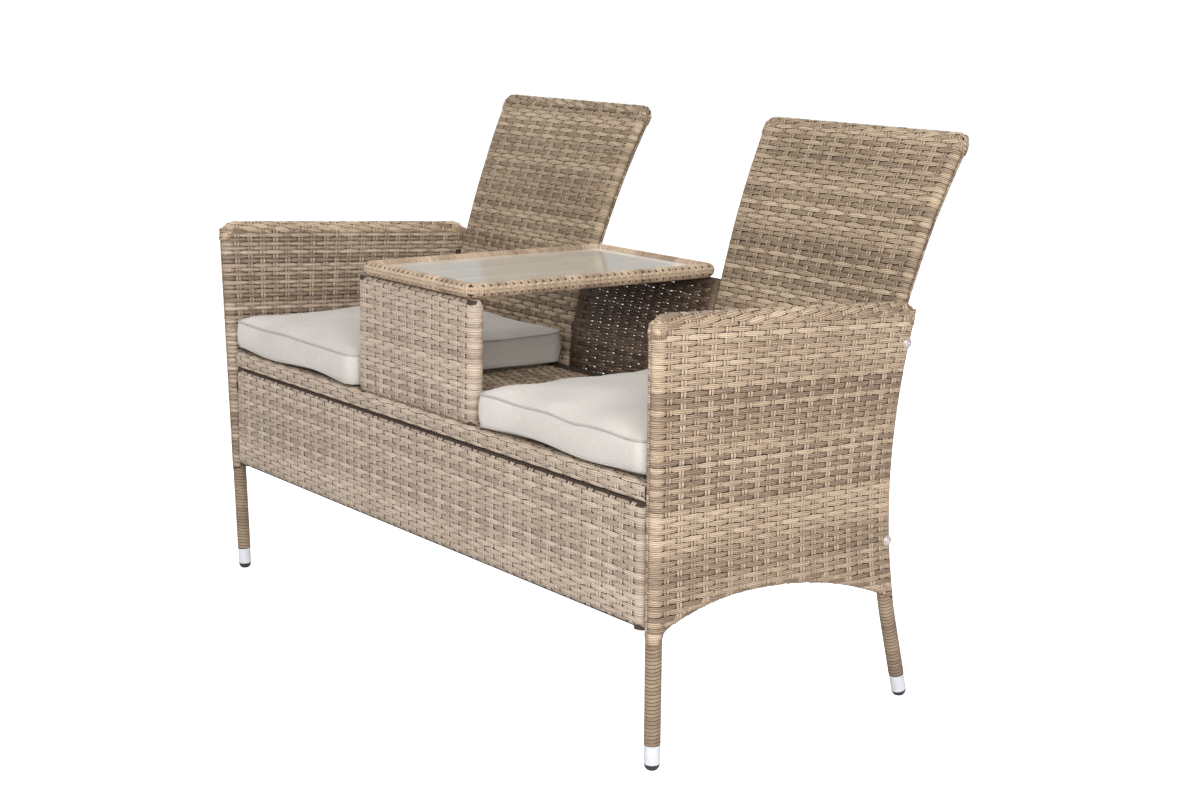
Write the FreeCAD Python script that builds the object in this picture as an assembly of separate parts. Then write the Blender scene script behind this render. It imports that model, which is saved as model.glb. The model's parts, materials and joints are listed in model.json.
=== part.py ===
"""Companion seat bench: two woven seats joined by a small glass-topped table.

Millimetres, +Z up, +X to the right for someone facing the bench, front towards -Y.
The model is laid out from the front feet (y = 0) and moved at the end, so that its
origin is the middle of the ground that the bench covers.
"""
import FreeCAD, Part
import os
from math import atan, cos, degrees, hypot, radians, sin, sqrt, tan

from FreeCAD import Vector

os.makedirs("parts", exist_ok=True)

# Steel tube, and the strands wound and woven round it
tube_radius = 10.0
tube_wall = 1.2
cross_tube_radius = 9.0      # rails between the uprights of a panel
back_tube_radius = 8.0       # the backs and the panel between them
back_rail_radius = 7.2
bar_radius = 8.0             # inner bars that the weave hides
back_bar_radius = 6.0
fit_gap = 0.3                # room between the steel and the strands
wrap_thickness = 1.8         # strands wound round a tube
skin_thickness = 1.6         # woven face of a panel that has two faces
sheet_thickness = 2.2        # woven face of a panel that has one face
sheet_lap = 3.0              # that face ends this far beyond the middle of a tube's front
face_drop = 1.6              # the woven faces lie this far inside the wound tubes
cover = fit_gap + wrap_thickness
wrap_radius = tube_radius + cover
cross_wrap_radius = cross_tube_radius + cover
back_wrap_radius = back_tube_radius + cover
back_rail_wrap_radius = back_rail_radius + cover
face_half = wrap_radius - face_drop
back_face_half = back_wrap_radius - face_drop
panel_gap = 1.2              # between neighbouring back panels
end_cap = 1.4                # woven cap over the open end of an upright
bar_clearance = 0.2          # round an inner bar where it passes through a winding

# Side panels: one bent tube makes front leg, arm and rear leg
foot_spread = 1219.4         # between the axes of the left and right front feet
foot_depth = 514.5           # from the front foot to the rear foot
arm_front_height = 649.5     # top of the arm over the floor
arm_rear_height = 625.5
arm_front_reach = 19.3       # the arm's front stands this far ahead of the front foot
arm_rear_y = 476.3           # rear end of the arm
side_flare = 13.3            # the arm leans out by this over its height
side_toe_in = 19.8           # the rear foot stands closer to the middle than the front foot
arm_front_bend = 13.0        # bend radii of the arm's two corners
arm_rear_bend = 13.0
knee_y = 413.1               # where the straight ends of the rear leg would meet
knee_height = 339.2
knee_radius = 846.0          # long bow of the rear leg
arch_peak_y = 166.0          # highest point of the arched lower rail
arch_peak_height = 245.1
arch_front_radius = 425.0
arch_rear_radius = 750.0
arch_ends = (-7.0, 455.0)    # the rail runs between these places on the legs
side_bar_ys = (140.0, 290.0)  # upright bars inside the side panels

# Feet
glide_radius = 11.4
glide_centre_height = 9.4    # the round glide is worn flat below this centre
sleeve_length = 28.0
sleeve_wall = 1.1
plug_length = 24.0
plug_root = 2.0              # the plug starts this far inside the nose
sleeve_clearance = 0.25      # between a leg and its sleeve
sleeve_play = 0.2            # between the sleeve and the winding or nose beside it
leg_wrap_thickness = 1.3

# Seat
deck_height = 408.3          # top of the woven deck
rail_top = 411.8             # top of the wrapped front rail
rail_height = 24.6
rail_depth = 24.0
rail_front_y = -14.6
rail_half_length = 602.6
rear_rail_half_length = 586.0  # shorter, between the toed-in side panels
rail_edge_radius = 5.0
deck_thickness = 2.0
cross_bar_xs = (-390.0, -160.0, 160.0, 390.0)
cross_bar_width = 20.0
cross_bar_height = 15.0

# Apron under the front rail
apron_half_length = 599.6
apron_bottom = 202.2
apron_gap = 2.0              # dark line between the rail and the apron
apron_front_y = -16.8
apron_bar_xs = (-290.0, 0.0, 290.0)

# Backs: wider at the top, upright behind the seat and bowed back above it in two bends
back_y = 441.0               # middle of the upright part
back_bottom = 203.0
back_top = 870.2
back_bend_height = 478.0     # where the upright and raked lines would meet
back_rake = 18.68            # degrees from upright between the two bends
back_bend_radius = 520.0
back_bow_height = 741.8      # where the two raked lines would meet
back_top_rake = 26.4
back_bow_radius = 1400.0
back_inner_xs = (195.0, 177.0, 168.9)  # tube next to the table: low, at the upper bend, top
back_outer_xs = (570.0, 582.4, 592.6)  # tube next to the arm
back_corner_radius = 12.5
back_bar_heights = (399.5, 600.0)

# Table
ring_tube_radius = 9.5
ring_wrap_thickness = 1.1
table_half_width = 164.6
table_front_y = -12.3
table_rear_y = 485.4
table_top = 630.7
ring_corner_radius = 11.6
table_panel_half = 170.6     # half the width of the woven front panel
table_panel_front_y = -11.7
table_panel_bar_xs = (0.0,)
table_spacer = 2.0           # black spacers between the ring and the panels
glass_thickness = 5.0
glass_drop = 5.9             # the glass lies this far below the ring's top
glass_gap = 0.8
glass_corner_radius = 3.0
glass_bar_ys = (110.0, 360.0)
glass_bar_width = 20.0
glass_bar_thickness = 3.0
bumper_radius = 5.0
bumper_height = 1.6
bumper_x = 100.0

# Cushions
cushion_inner_xs = (183.0, 181.0)  # front and rear
cushion_outer_xs = (604.0, 588.0)
cushion_front_y = -21.0
cushion_rear_y = 427.0
cushion_edge = 50.7          # height of the boxed side between its two seams
cushion_crown = 12.0         # rise of the top over its seam
cushion_sag = 11.4           # fall of the underside below its seam
cushion_corner_radius = 26.0
cushion_draw_in = 3.0        # the long sides are drawn in between the corners
cushion_bulge = 2.5          # the boxed side swells by this at half height
cushion_rest = 0.3

# Fasteners
bolt_radius = 3.0
bolt_clearance = 0.2
head_radius = 6.1
head_height = 3.4
head_rounding = 0.45         # share of the head's height that its rim is rounded by
socket_radius = 2.2
socket_depth = 2.0
washer_radius = 8.0
washer_thickness = 1.5
nut_radius = 5.0
nut_length = 8.0
table_spacer_radius = 7.0
lug_reach = 8.0              # the lugs on the backs reach this far round their bolts
lug_floor = 1.2
panel_clearance = 0.6        # next to a side panel, which stands a little askew
seat_play = 0.15             # between a head or washer and the winding that it bears on
plate_play = 0.2             # between a hook or collar and the panel that it starts from
nut_play = 0.2               # between a nut and the tube that it sits in
spacer_play = 0.1            # above and below a spacer, and at the end of a nut
hole_overrun = 5.0           # a bolt's hole runs this far past its washer
stud_depth = 14.0            # a stud starts this far inside its rail
stud_hole_overrun = 2.0
screw_hole_overrun = 0.5
stud_radius = 4.0
collar_radius = 7.0
side_bolt_heights = (264.0, 566.0)
middle_bolt_heights = (250.0, 370.0)
seat_bolt_xs = (260.0, 480.0)
hook_heights = (230.0, 350.0)
hook_width = 12.0
hook_height = 16.0
screw_radius = 2.5
screw_head_radius = 5.0
screw_head_height = 2.5
table_screw_x = 90.0

X_AXIS = Vector(1, 0, 0)
Y_AXIS = Vector(0, 1, 0)
Z_AXIS = Vector(0, 0, 1)


# Shapes that the pieces share

def fuse(shapes):
    """One solid out of several that touch."""
    if len(shapes) == 1:
        return shapes[0]
    return shapes[0].fuse(shapes[1:])


def fuse_apart(shapes):
    """Several shapes kept as one compound, for cutting."""
    return Part.makeCompound(shapes)


def rod(start, end, radius):
    """A round bar between two points."""
    run = end - start
    return Part.makeCylinder(radius, run.Length, start, run)


def ring_round(start, end, outer, inner):
    """A short round tube between two points."""
    return rod(start, end, outer).cut(rod(start, end, inner))


def block(x_range, y_range, z_range):
    """A box from its three ranges."""
    low = Vector(x_range[0], y_range[0], z_range[0])
    size = [pair[1] - pair[0] for pair in (x_range, y_range, z_range)]
    return Part.makeBox(size[0], size[1], size[2], low)


def rounded_path(points, radii, closed=False):
    """Straight runs through the points, with a tangent arc of the given radius at each turn.

    A radius of zero leaves the turn sharp.
    """
    count = len(points)
    turns = range(count) if closed else range(1, count - 1)
    leave = {}
    arrive = {}
    arcs = {}
    for number, place in enumerate(turns):
        if radii[number] == 0:
            continue
        corner = points[place]
        before = (corner - points[place - 1]).normalize()
        after = (points[(place + 1) % count] - corner).normalize()
        turn = before.getAngle(after)
        reach = radii[number] * tan(turn / 2)
        start = corner - before * reach
        end = corner + after * reach
        inward = (after - before).normalize()
        centre = corner + inward * (radii[number] / cos(turn / 2))
        middle = centre - inward * radii[number]
        arcs[place] = Part.Arc(start, middle, end).toShape()
        arrive[place] = start
        leave[place] = end
    edges = []
    runs = range(count) if closed else range(count - 1)
    for place in runs:
        following = (place + 1) % count
        start = leave.get(place, points[place])
        end = arrive.get(following, points[following])
        if (end - start).Length > 1e-6:
            edges.append(Part.LineSegment(start, end).toShape())
        if following in arcs:
            edges.append(arcs[following])
    return Part.Wire(edges)


def tube_along(path, radius, bore=0.0):
    """A round bar along straight runs and arcs, or a tube where a bore is given."""
    runs = []
    for edge in path.Edges:
        start = edge.valueAt(edge.FirstParameter)
        heading = edge.tangentAt(edge.FirstParameter)
        face = Part.Face(Part.Wire(Part.makeCircle(radius, start, heading)))
        if bore > 0:
            face = face.cut(Part.Face(Part.Wire(Part.makeCircle(bore, start, heading)))).Faces[0]
        if edge.Curve.TypeId == "Part::GeomLine":
            runs.append(face.extrude(heading * edge.Length))
        else:
            turn = degrees(edge.LastParameter - edge.FirstParameter)
            runs.append(face.revolve(edge.Curve.Center, edge.Curve.Axis, turn))
    return fuse(runs)


def mirrored(shape):
    """The same piece on the other side of the bench."""
    return shape.mirror(Vector(0, 0, 0), X_AXIS)


def rounded_slab(x_range, y_range, z_range, radius):
    """A box whose upright corners are rounded."""
    corners = [Vector(x_range[0], y_range[0], z_range[0]), Vector(x_range[1], y_range[0], z_range[0]),
               Vector(x_range[1], y_range[1], z_range[0]), Vector(x_range[0], y_range[1], z_range[0])]
    outline = rounded_path(corners, [radius] * 4, closed=True)
    return Part.Face(outline).extrude(Vector(0, 0, z_range[1] - z_range[0]))


def bolt_head(seat, outward):
    """A low round head with a hexagon socket, seated at a point and facing outward."""
    head = Part.makeCylinder(head_radius, head_height, seat, outward)
    rims = [edge for edge in head.Edges if edge.Length > head_radius and edge.Closed]
    rims = [edge for edge in rims if (edge.CenterOfMass - seat).dot(outward) > head_height / 2]
    head = head.makeFillet(head_height * head_rounding, rims)
    floor = seat + outward * (head_height - socket_depth)
    side = outward.cross(Z_AXIS if abs(outward.dot(Z_AXIS)) < 0.5 else X_AXIS).normalize()
    other = outward.cross(side)
    corners = [floor + side * (socket_radius * cos(radians(a))) + other * (socket_radius * sin(radians(a)))
               for a in range(0, 360, 60)]
    socket = Part.Face(Part.makePolygon(corners + [corners[0]])).extrude(outward * (socket_depth + 1))
    return head.cut(socket)


# Side panel, drawn flat in the plane x = 0 and leaned out afterwards

flare_angle = degrees(atan(side_flare / arm_front_height))
toe_angle = degrees(atan(side_toe_in / foot_depth))
foot_x = foot_spread / 2
arm_front = Vector(0, -arm_front_reach, arm_front_height - wrap_radius)
arm_rear = Vector(0, arm_rear_y, arm_rear_height - wrap_radius)
knee = Vector(0, knee_y, knee_height)
front_foot = Vector(0, 0, 0)
rear_foot = Vector(0, foot_depth, 0)
front_leg_way = (arm_front - front_foot).normalize()
rear_leg_way = (knee - rear_foot).normalize()


def side_path(front_start, rear_end):
    """Middle line of the bent side tube between two points on its legs."""
    points = [front_start, arm_front, arm_rear, knee, rear_end]
    return rounded_path(points, [arm_front_bend, arm_rear_bend, knee_radius])


front_leg_path = rounded_path([front_foot, front_foot + front_leg_way * 320], [])
rear_leg_path = rounded_path([arm_rear, knee, rear_foot], [knee_radius])


def leg_point(foot, way, height):
    """The point of a straight leg end at a height over the floor."""
    return foot + way * (height / way.z)


def rear_tube_y(height):
    """Distance back of the rear tube's middle line at a height, on its bow or the straight part above."""
    up = (arm_rear - knee).normalize()
    down = (rear_foot - knee).normalize()
    half_turn = (radians(180) - up.getAngle(down)) / 2
    bow_end = knee + up * (knee_radius * tan(half_turn))
    if height > bow_end.z:
        return knee.y + (height - knee.z) * up.y / up.z
    bisector = (up + down).normalize()
    centre = knee + bisector * (knee_radius / cos(half_turn))
    return centre.y - sqrt(knee_radius ** 2 - (height - centre.z) ** 2)


def front_tube_y(height):
    """Distance back of the front leg's middle line at a height."""
    return front_leg_way.y / front_leg_way.z * height


def leaned(shape):
    """Lean a flat side panel outwards, turn its rear end in and stand it on the right feet."""
    copy = shape.copy()
    copy.rotate(Vector(0, 0, 0), Y_AXIS, flare_angle)
    copy.rotate(Vector(0, 0, 0), Z_AXIS, toe_angle)
    copy.translate(Vector(foot_x, 0, 0))
    return copy


def side_x(height, y):
    """Distance from the bench's middle to the side panel's middle plane."""
    flare = height * tan(radians(flare_angle)) / cos(radians(toe_angle))
    return foot_x + flare - y * tan(radians(toe_angle))


arch_peak = Vector(0, arch_peak_y, arch_peak_height)


def arch_arcs(offset, front_y, rear_y):
    """The two arcs of the lower rail, moved down by an offset, from a front to a rear place."""
    arcs = []
    for radius, end_y in ((arch_front_radius, front_y), (arch_rear_radius, rear_y)):
        bow = radius - offset
        centre = arch_peak - Z_AXIS * radius
        points = []
        for share in (0.0, 0.5, 1.0):
            across = (end_y - arch_peak_y) * share
            points.append(centre + Vector(0, across, sqrt(bow ** 2 - across ** 2)))
        arcs.append(Part.Arc(points[0], points[1], points[2]).toShape())
    return arcs


def above_arch(offset, clearance=0.0):
    """Everything above the lower rail's underside, as a thick block across the panel."""
    front, rear = arch_arcs(offset, -90.0, 560.0)
    ends = [front.valueAt(front.LastParameter), rear.valueAt(rear.LastParameter)]
    top = 900.0
    corners = [ends[0], Vector(0, ends[0].y, top), Vector(0, ends[1].y, top), ends[1]]
    sides = [Part.LineSegment(corners[i], corners[i + 1]).toShape() for i in range(3)]
    face = Part.Face(Part.Wire(Part.__sortEdges__([front, rear] + sides)))
    face.translate(Vector(-60, 0, -clearance))
    return face.extrude(Vector(120, 0, 0))


def side_plate(half):
    """The flat filling of the side panel between its tubes, of a given half thickness."""
    path = side_path(front_foot, rear_foot)
    floor_line = Part.LineSegment(rear_foot, front_foot).toShape()
    face = Part.Face(Part.Wire(path.OrderedEdges + [floor_line]))
    face.translate(Vector(-half, 0, 0))
    return face.extrude(Vector(2 * half, 0, 0)).common(above_arch(0.0))


def arch_tube(radius, bore=0.0):
    """The arched lower rail from leg to leg."""
    return tube_along(Part.Compound(arch_arcs(0.0, arch_ends[0], arch_ends[1])), radius, bore)


def make_side_frame():
    """Bent tube, arched rail and upright bars, welded into one."""
    front_end = leg_point(front_foot, front_leg_way, glide_centre_height + fit_gap)
    rear_end = leg_point(rear_foot, rear_leg_way, glide_centre_height + fit_gap)
    path = side_path(front_end, rear_end)
    solid_tube = tube_along(path, tube_radius)
    rail = arch_tube(cross_tube_radius, cross_tube_radius - tube_wall)
    parts = [tube_along(path, tube_radius, tube_radius - tube_wall), rail.cut(solid_tube)]
    for bar_y in side_bar_ys:
        share = (bar_y + arm_front_reach) / (arm_rear_y + arm_front_reach)
        top_z = arm_front.z + (arm_rear.z - arm_front.z) * share
        bar = rod(Vector(0, bar_y, 200.0), Vector(0, bar_y, top_z), bar_radius)
        bar = bar.common(above_arch(0.0))
        parts.append(bar.cut(fuse_apart([solid_tube, arch_tube(cross_tube_radius)])))
    return fuse(parts)


def make_side_weave():
    """Woven skin over both faces of the side panel, closed round its tubes."""
    path = side_path(front_foot, rear_foot)
    outer = fuse([tube_along(path, wrap_radius), arch_tube(cross_wrap_radius), side_plate(face_half)])
    outer = outer.common(above_arch(cross_wrap_radius))
    inner_half = face_half - skin_thickness
    inner = fuse([tube_along(path, tube_radius + fit_gap), arch_tube(cross_tube_radius + fit_gap),
                  side_plate(inner_half)])
    return outer.cut(inner)


def make_leg_wrap(path, foot, way):
    """Close winding round one leg between the woven panel and the foot sleeve."""
    shell = tube_along(path, tube_radius + fit_gap + leg_wrap_thickness, tube_radius + fit_gap)
    shell = shell.cut(above_arch(cross_wrap_radius, clearance=sleeve_play))
    sleeve_top = leg_point(foot, way, glide_centre_height) + way * (sleeve_length + 2 * sleeve_play)
    keep = Part.makeCylinder(foot_depth / 4, arm_front_height, sleeve_top, way)
    return shell.common(keep)


def make_sleeve(foot, way):
    """Plastic sleeve over the end of a leg."""
    start = leg_point(foot, way, glide_centre_height) + way * sleeve_play
    inner = tube_radius + sleeve_clearance
    return ring_round(start, start + way * sleeve_length, inner + sleeve_wall, inner)


def make_glide(foot, way):
    """Round-nosed glide with a plug that fills the end of the tube."""
    centre = leg_point(foot, way, glide_centre_height)
    ball = Part.makeSphere(glide_radius, centre)
    below = Part.makeCylinder(2 * glide_radius, 2 * glide_radius, centre, way * -1)
    plug = rod(centre - way * plug_root, centre + way * plug_length, tube_radius - tube_wall - fit_gap)
    nose = ball.common(below)
    floor = Part.makeBox(200, 200, 50, Vector(-100, centre.y - 100, -50))
    return fuse([nose, plug]).cut(floor)


# Back panels

rake = radians(back_rake)
top_rake = radians(back_top_rake)
back_low_z = back_bottom + back_wrap_radius
back_high_z = back_top - back_wrap_radius
back_bow_y = back_y + (back_bow_height - back_bend_height) * tan(rake)
back_high_y = back_bow_y + (back_high_z - back_bow_height) * tan(top_rake)


def profile_line(offset, top_z):
    """Side view of the backs at a distance behind their middle line, from the bottom to a height."""
    turns = [(back_y, back_bend_height, 0.0, rake, back_bend_radius)]
    end_y = back_y + (top_z - back_bend_height) * tan(rake)
    end_rake = rake
    if top_z > back_bow_height:
        turns.append((back_bow_y, back_bow_height, rake, top_rake, back_bow_radius))
        end_y = back_bow_y + (top_z - back_bow_height) * tan(top_rake)
        end_rake = top_rake
    points = [Vector(0, back_y + offset, back_low_z)]
    radii = []
    for y, z, below, above, radius in turns:
        middle = (below + above) / 2
        shift = offset / cos((above - below) / 2)
        points.append(Vector(0, y + shift * cos(middle), z - shift * sin(middle)))
        radii.append(radius - offset)
    points.append(Vector(0, end_y + offset * cos(end_rake), top_z - offset * sin(end_rake)))
    return rounded_path(points, radii)


def on_bend(height, vertex_y, vertex_z, below, above, radius):
    """Distance back of a bend's arc at a height, from its vertex and the rakes on both sides."""
    reach = radius * tan((above - below) / 2)
    start_y = vertex_y - reach * sin(below)
    start_z = vertex_z - reach * cos(below)
    centre_y = start_y + radius * cos(below)
    centre_z = start_z - radius * sin(below)
    return centre_y - sqrt(radius ** 2 - (height - centre_z) ** 2)


def back_middle_y(height):
    """Distance back of the panels' middle surface at a height."""
    reach = back_bend_radius * tan(rake / 2)
    bow_reach = back_bow_radius * tan((top_rake - rake) / 2)
    if height <= back_bend_height - reach:
        return back_y
    if height < back_bend_height + reach * cos(rake):
        return on_bend(height, back_y, back_bend_height, 0.0, rake, back_bend_radius)
    if height <= back_bow_height - bow_reach * cos(rake):
        return back_y + (height - back_bend_height) * tan(rake)
    if height < back_bow_height + bow_reach * cos(top_rake):
        return on_bend(height, back_bow_y, back_bow_height, rake, top_rake, back_bow_radius)
    return back_bow_y + (height - back_bow_height) * tan(top_rake)


def lower_bend_for(side_run):
    """Bend radius of a tube that follows the lower bend while it also leans sideways."""
    run_z = back_bow_height - back_bend_height
    turn = atan(hypot(side_run, run_z * tan(rake)) / run_z)
    reach = back_bend_radius * tan(rake / 2)
    return (reach + reach * cos(rake)) / sin(turn)


inner_bend = lower_bend_for(back_inner_xs[1] - back_inner_xs[0])
outer_bend = lower_bend_for(back_outer_xs[1] - back_outer_xs[0])


def back_path():
    """Closed middle line of the right back's tube."""
    levels = [(back_y, back_low_z), (back_y, back_bend_height),
              (back_bow_y, back_bow_height), (back_high_y, back_high_z)]
    inner = [Vector(x, y, z) for x, (y, z) in zip(back_inner_xs[:1] + back_inner_xs, levels)]
    outer = [Vector(x, y, z) for x, (y, z) in zip(back_outer_xs[:1] + back_outer_xs, levels)]
    radii = [back_corner_radius, inner_bend, back_bow_radius, back_corner_radius,
             back_corner_radius, back_bow_radius, outer_bend, back_corner_radius]
    return rounded_path(inner + outer[::-1], radii, closed=True)


def bent_sheet(near, far, top_z):
    """A wide sheet that follows the backs' side profile, between two distances behind its middle."""
    front = profile_line(near, top_z)
    rear = profile_line(far, top_z)
    ends = [front.OrderedVertexes[0].Point, front.OrderedVertexes[-1].Point]
    rear_ends = [rear.OrderedVertexes[0].Point, rear.OrderedVertexes[-1].Point]
    edges = front.Edges + rear.Edges
    edges.append(Part.LineSegment(ends[0], rear_ends[0]).toShape())
    edges.append(Part.LineSegment(ends[1], rear_ends[1]).toShape())
    face = Part.Face(Part.Wire(Part.__sortEdges__(edges)))
    face.translate(Vector(-650, 0, 0))
    return face.extrude(Vector(1300, 0, 0))


def back_outline():
    """Front view of the right back between the middle lines of its tubes, as a deep block."""
    heights = (back_low_z, back_bend_height, back_bow_height, back_high_z)
    inner = [Vector(x, 300, z) for x, z in zip(back_inner_xs[:1] + back_inner_xs, heights)]
    outer = [Vector(x, 300, z) for x, z in zip(back_outer_xs[:1] + back_outer_xs, heights)]
    soft = back_corner_radius
    outline = rounded_path(inner + outer[::-1], [soft, 0, 0, soft, soft, 0, 0, soft], closed=True)
    return Part.Face(outline).extrude(Vector(0, 400, 0))


def back_plate(half):
    """The woven filling of a back, of a given half thickness."""
    return bent_sheet(-half, half, back_high_z).common(back_outline())


def back_edge_x(height, xs):
    """Distance from the bench's middle to one of a back's side tubes below the upper bend."""
    share = (back_middle_y(height) - back_y) / (back_bow_y - back_y)
    return xs[0] + (xs[1] - xs[0]) * share


def make_back_frame():
    """Closed bent tube with two level bars between its uprights."""
    path = back_path()
    solid_tube = tube_along(path, back_tube_radius)
    parts = [tube_along(path, back_tube_radius, back_tube_radius - tube_wall)]
    for height in back_bar_heights:
        y = back_middle_y(height)
        start = Vector(back_edge_x(height, back_inner_xs), y, height)
        end = Vector(back_edge_x(height, back_outer_xs), y, height)
        parts.append(rod(start, end, back_bar_radius).cut(solid_tube))
    return fuse(parts)


def make_back_weave():
    """Woven skin over both faces of a back, closed round its tube."""
    path = back_path()
    outer = fuse([tube_along(path, back_wrap_radius), back_plate(back_face_half)])
    inner = fuse([tube_along(path, back_tube_radius + fit_gap), back_plate(back_face_half - skin_thickness)])
    return outer.cut(inner)


# Middle back panel under the table

middle_low_x = back_inner_xs[0] - 2 * back_wrap_radius - panel_gap
ring_radius = ring_tube_radius + fit_gap + ring_wrap_thickness
ring_z = table_top - ring_radius
panel_top = ring_z - ring_radius - table_spacer
middle_high_z = panel_top - back_rail_wrap_radius
middle_rail_low_z = back_bottom + back_rail_wrap_radius
middle_high_y = back_middle_y(middle_high_z)
middle_lean = (back_inner_xs[0] - back_inner_xs[1]) / (back_bow_height - back_bend_height)
middle_high_x = middle_low_x - middle_lean * (middle_high_z - back_bend_height)


def round_bar(path, radius, wall=0.0):
    """A round bar along a path, or a tube where a wall is given."""
    return tube_along(path, radius, radius - wall if wall > 0 else 0.0)


def level_tube(half_x, y, z, radius, wall=0.0):
    """A bar or tube along X, even about the middle."""
    path = Part.LineSegment(Vector(-half_x, y, z), Vector(half_x, y, z)).toShape()
    return round_bar(path, radius, wall)


def middle_upright(side, low_z, high_z):
    """Middle line of one upright of the middle panel."""
    share = (high_z - back_bend_height) / (middle_high_z - back_bend_height)
    high = Vector(middle_low_x + (middle_high_x - middle_low_x) * share,
                  back_y + (high_z - back_bend_height) * tan(rake), high_z)
    points = [Vector(side * middle_low_x, back_y, low_z),
              Vector(side * middle_low_x, back_y, back_bend_height),
              Vector(side * high.x, high.y, high.z)]
    return rounded_path(points, [inner_bend])


def middle_tubes(low_z, high_z, grow=0.0, wall=0.0):
    """Both uprights and both rails of the middle panel, with radii grown by an amount."""
    uprights = []
    for side in (-1, 1):
        upright = middle_upright(side, low_z, high_z)
        uprights.append(round_bar(upright, back_tube_radius + grow, wall))
    top = level_tube(middle_high_x, middle_high_y, middle_high_z, back_rail_radius + grow, wall)
    bottom = level_tube(middle_low_x, back_y, middle_rail_low_z, back_rail_radius + grow, wall)
    return uprights, [top, bottom]


def below_level(shape, level):
    """The part of a shape under a height."""
    return shape.common(block((-700, 700), (-100, 700), (-10, level)))


def make_middle_frame():
    """Two uprights and two rails, welded."""
    low = back_bottom + end_cap + fit_gap
    solid_uprights, rails = middle_tubes(low, panel_top + 20)
    uprights, hollow_rails = middle_tubes(low, panel_top + 20, wall=tube_wall)
    level_rails = [rail.cut(fuse_apart(solid_uprights)) for rail in hollow_rails]
    return below_level(fuse(uprights + level_rails), panel_top - wrap_thickness)


def make_middle_weave():
    """One woven sheet over the front of the middle panel, with its edges wound round the tubes."""
    uprights, rails = middle_tubes(back_bottom, panel_top + 20, grow=cover)
    sheet = bent_sheet(-back_face_half, -back_face_half + sheet_thickness, middle_high_z + sheet_lap)
    low_x = middle_low_x - sheet_lap
    high_x = middle_high_x - sheet_lap
    low_z = back_low_z + sheet_lap
    outline = Part.makePolygon([Vector(-low_x, 300, low_z), Vector(low_x, 300, low_z),
                                Vector(low_x, 300, back_bend_height), Vector(high_x, 300, middle_high_z),
                                Vector(-high_x, 300, middle_high_z), Vector(-low_x, 300, back_bend_height),
                                Vector(-low_x, 300, low_z)])
    sheet = sheet.common(Part.Face(outline).extrude(Vector(0, 300, 0)))
    outer = below_level(fuse(uprights + rails + [sheet]), panel_top)
    bores, rail_bores = middle_tubes(back_bottom + end_cap, panel_top + 20, grow=fit_gap)
    return outer.cut(below_level(fuse(bores + rail_bores), panel_top - wrap_thickness + fit_gap))


# Flat woven panels in the front of the bench

def flat_tubes(half_x, middle_y, z_range, inset, grow=0.0, wall=0.0):
    """Two uprights over the full height and two rails between them, with radii grown by an amount."""
    low, high = z_range
    uprights = []
    for side in (-1, 1):
        path = Part.LineSegment(Vector(side * half_x, middle_y, low + inset),
                                Vector(side * half_x, middle_y, high - inset)).toShape()
        uprights.append(round_bar(path, tube_radius + grow, wall))
    rails = [level_tube(half_x, middle_y, z, cross_tube_radius + grow, wall)
             for z in (low + cross_wrap_radius, high - cross_wrap_radius)]
    return uprights, rails


def make_flat_frame(half_x, middle_y, z_range, bar_xs):
    """Steel frame of a flat panel, with upright bars between its rails."""
    inset = end_cap + fit_gap
    posts, rails = flat_tubes(half_x, middle_y, z_range, inset)
    uprights, hollow_rails = flat_tubes(half_x, middle_y, z_range, inset, wall=tube_wall)
    parts = uprights + [rail.cut(fuse_apart(posts)) for rail in hollow_rails]
    low, high = z_range
    for x in bar_xs:
        bar = rod(Vector(x, middle_y, low + cross_wrap_radius), Vector(x, middle_y, high - cross_wrap_radius),
                  bar_radius)
        parts.append(bar.cut(fuse_apart(rails)))
    return fuse(parts)


def make_flat_weave(half_x, middle_y, z_range, bar_xs):
    """One woven sheet over the front of a flat panel, wound round the tubes between the inner bars."""
    low, high = z_range
    uprights, rails = flat_tubes(half_x, middle_y, z_range, 0.0, grow=cover)
    sheet = block((-half_x + sheet_lap, half_x - sheet_lap),
                  (middle_y - face_half, middle_y - face_half + sheet_thickness),
                  (low + cross_wrap_radius + sheet_lap, high - cross_wrap_radius - sheet_lap))
    outer = fuse(uprights + rails + [sheet])
    bores, rail_bores = flat_tubes(half_x, middle_y, z_range, end_cap, grow=fit_gap)
    bars = [rod(Vector(x, middle_y, low + cross_wrap_radius), Vector(x, middle_y, high - cross_wrap_radius),
                bar_radius + bar_clearance) for x in bar_xs]
    return outer.cut(fuse(bores + rail_bores)).cut(fuse_apart(bars))


apron_top = rail_top - rail_height - apron_gap
apron_range = (apron_bottom, apron_top)
apron_half_x = apron_half_length - wrap_radius
apron_y = apron_front_y + wrap_radius
table_panel_range = (rail_top + fit_gap, panel_top)
table_panel_half_x = table_panel_half - wrap_radius
table_panel_y = table_panel_front_y + wrap_radius


# Seat

rail_z = rail_top - rail_height / 2
front_rail_y = rail_front_y + rail_depth / 2
rear_rail_y = back_y - back_wrap_radius - fit_gap - rail_depth / 2


def prism(corners, z_range):
    """An upright block over a plan outline."""
    points = [Vector(x, y, z_range[0]) for x, y in corners]
    face = Part.Face(Part.makePolygon(points + [points[0]]))
    return face.extrude(Vector(0, 0, z_range[1] - z_range[0]))


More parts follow.
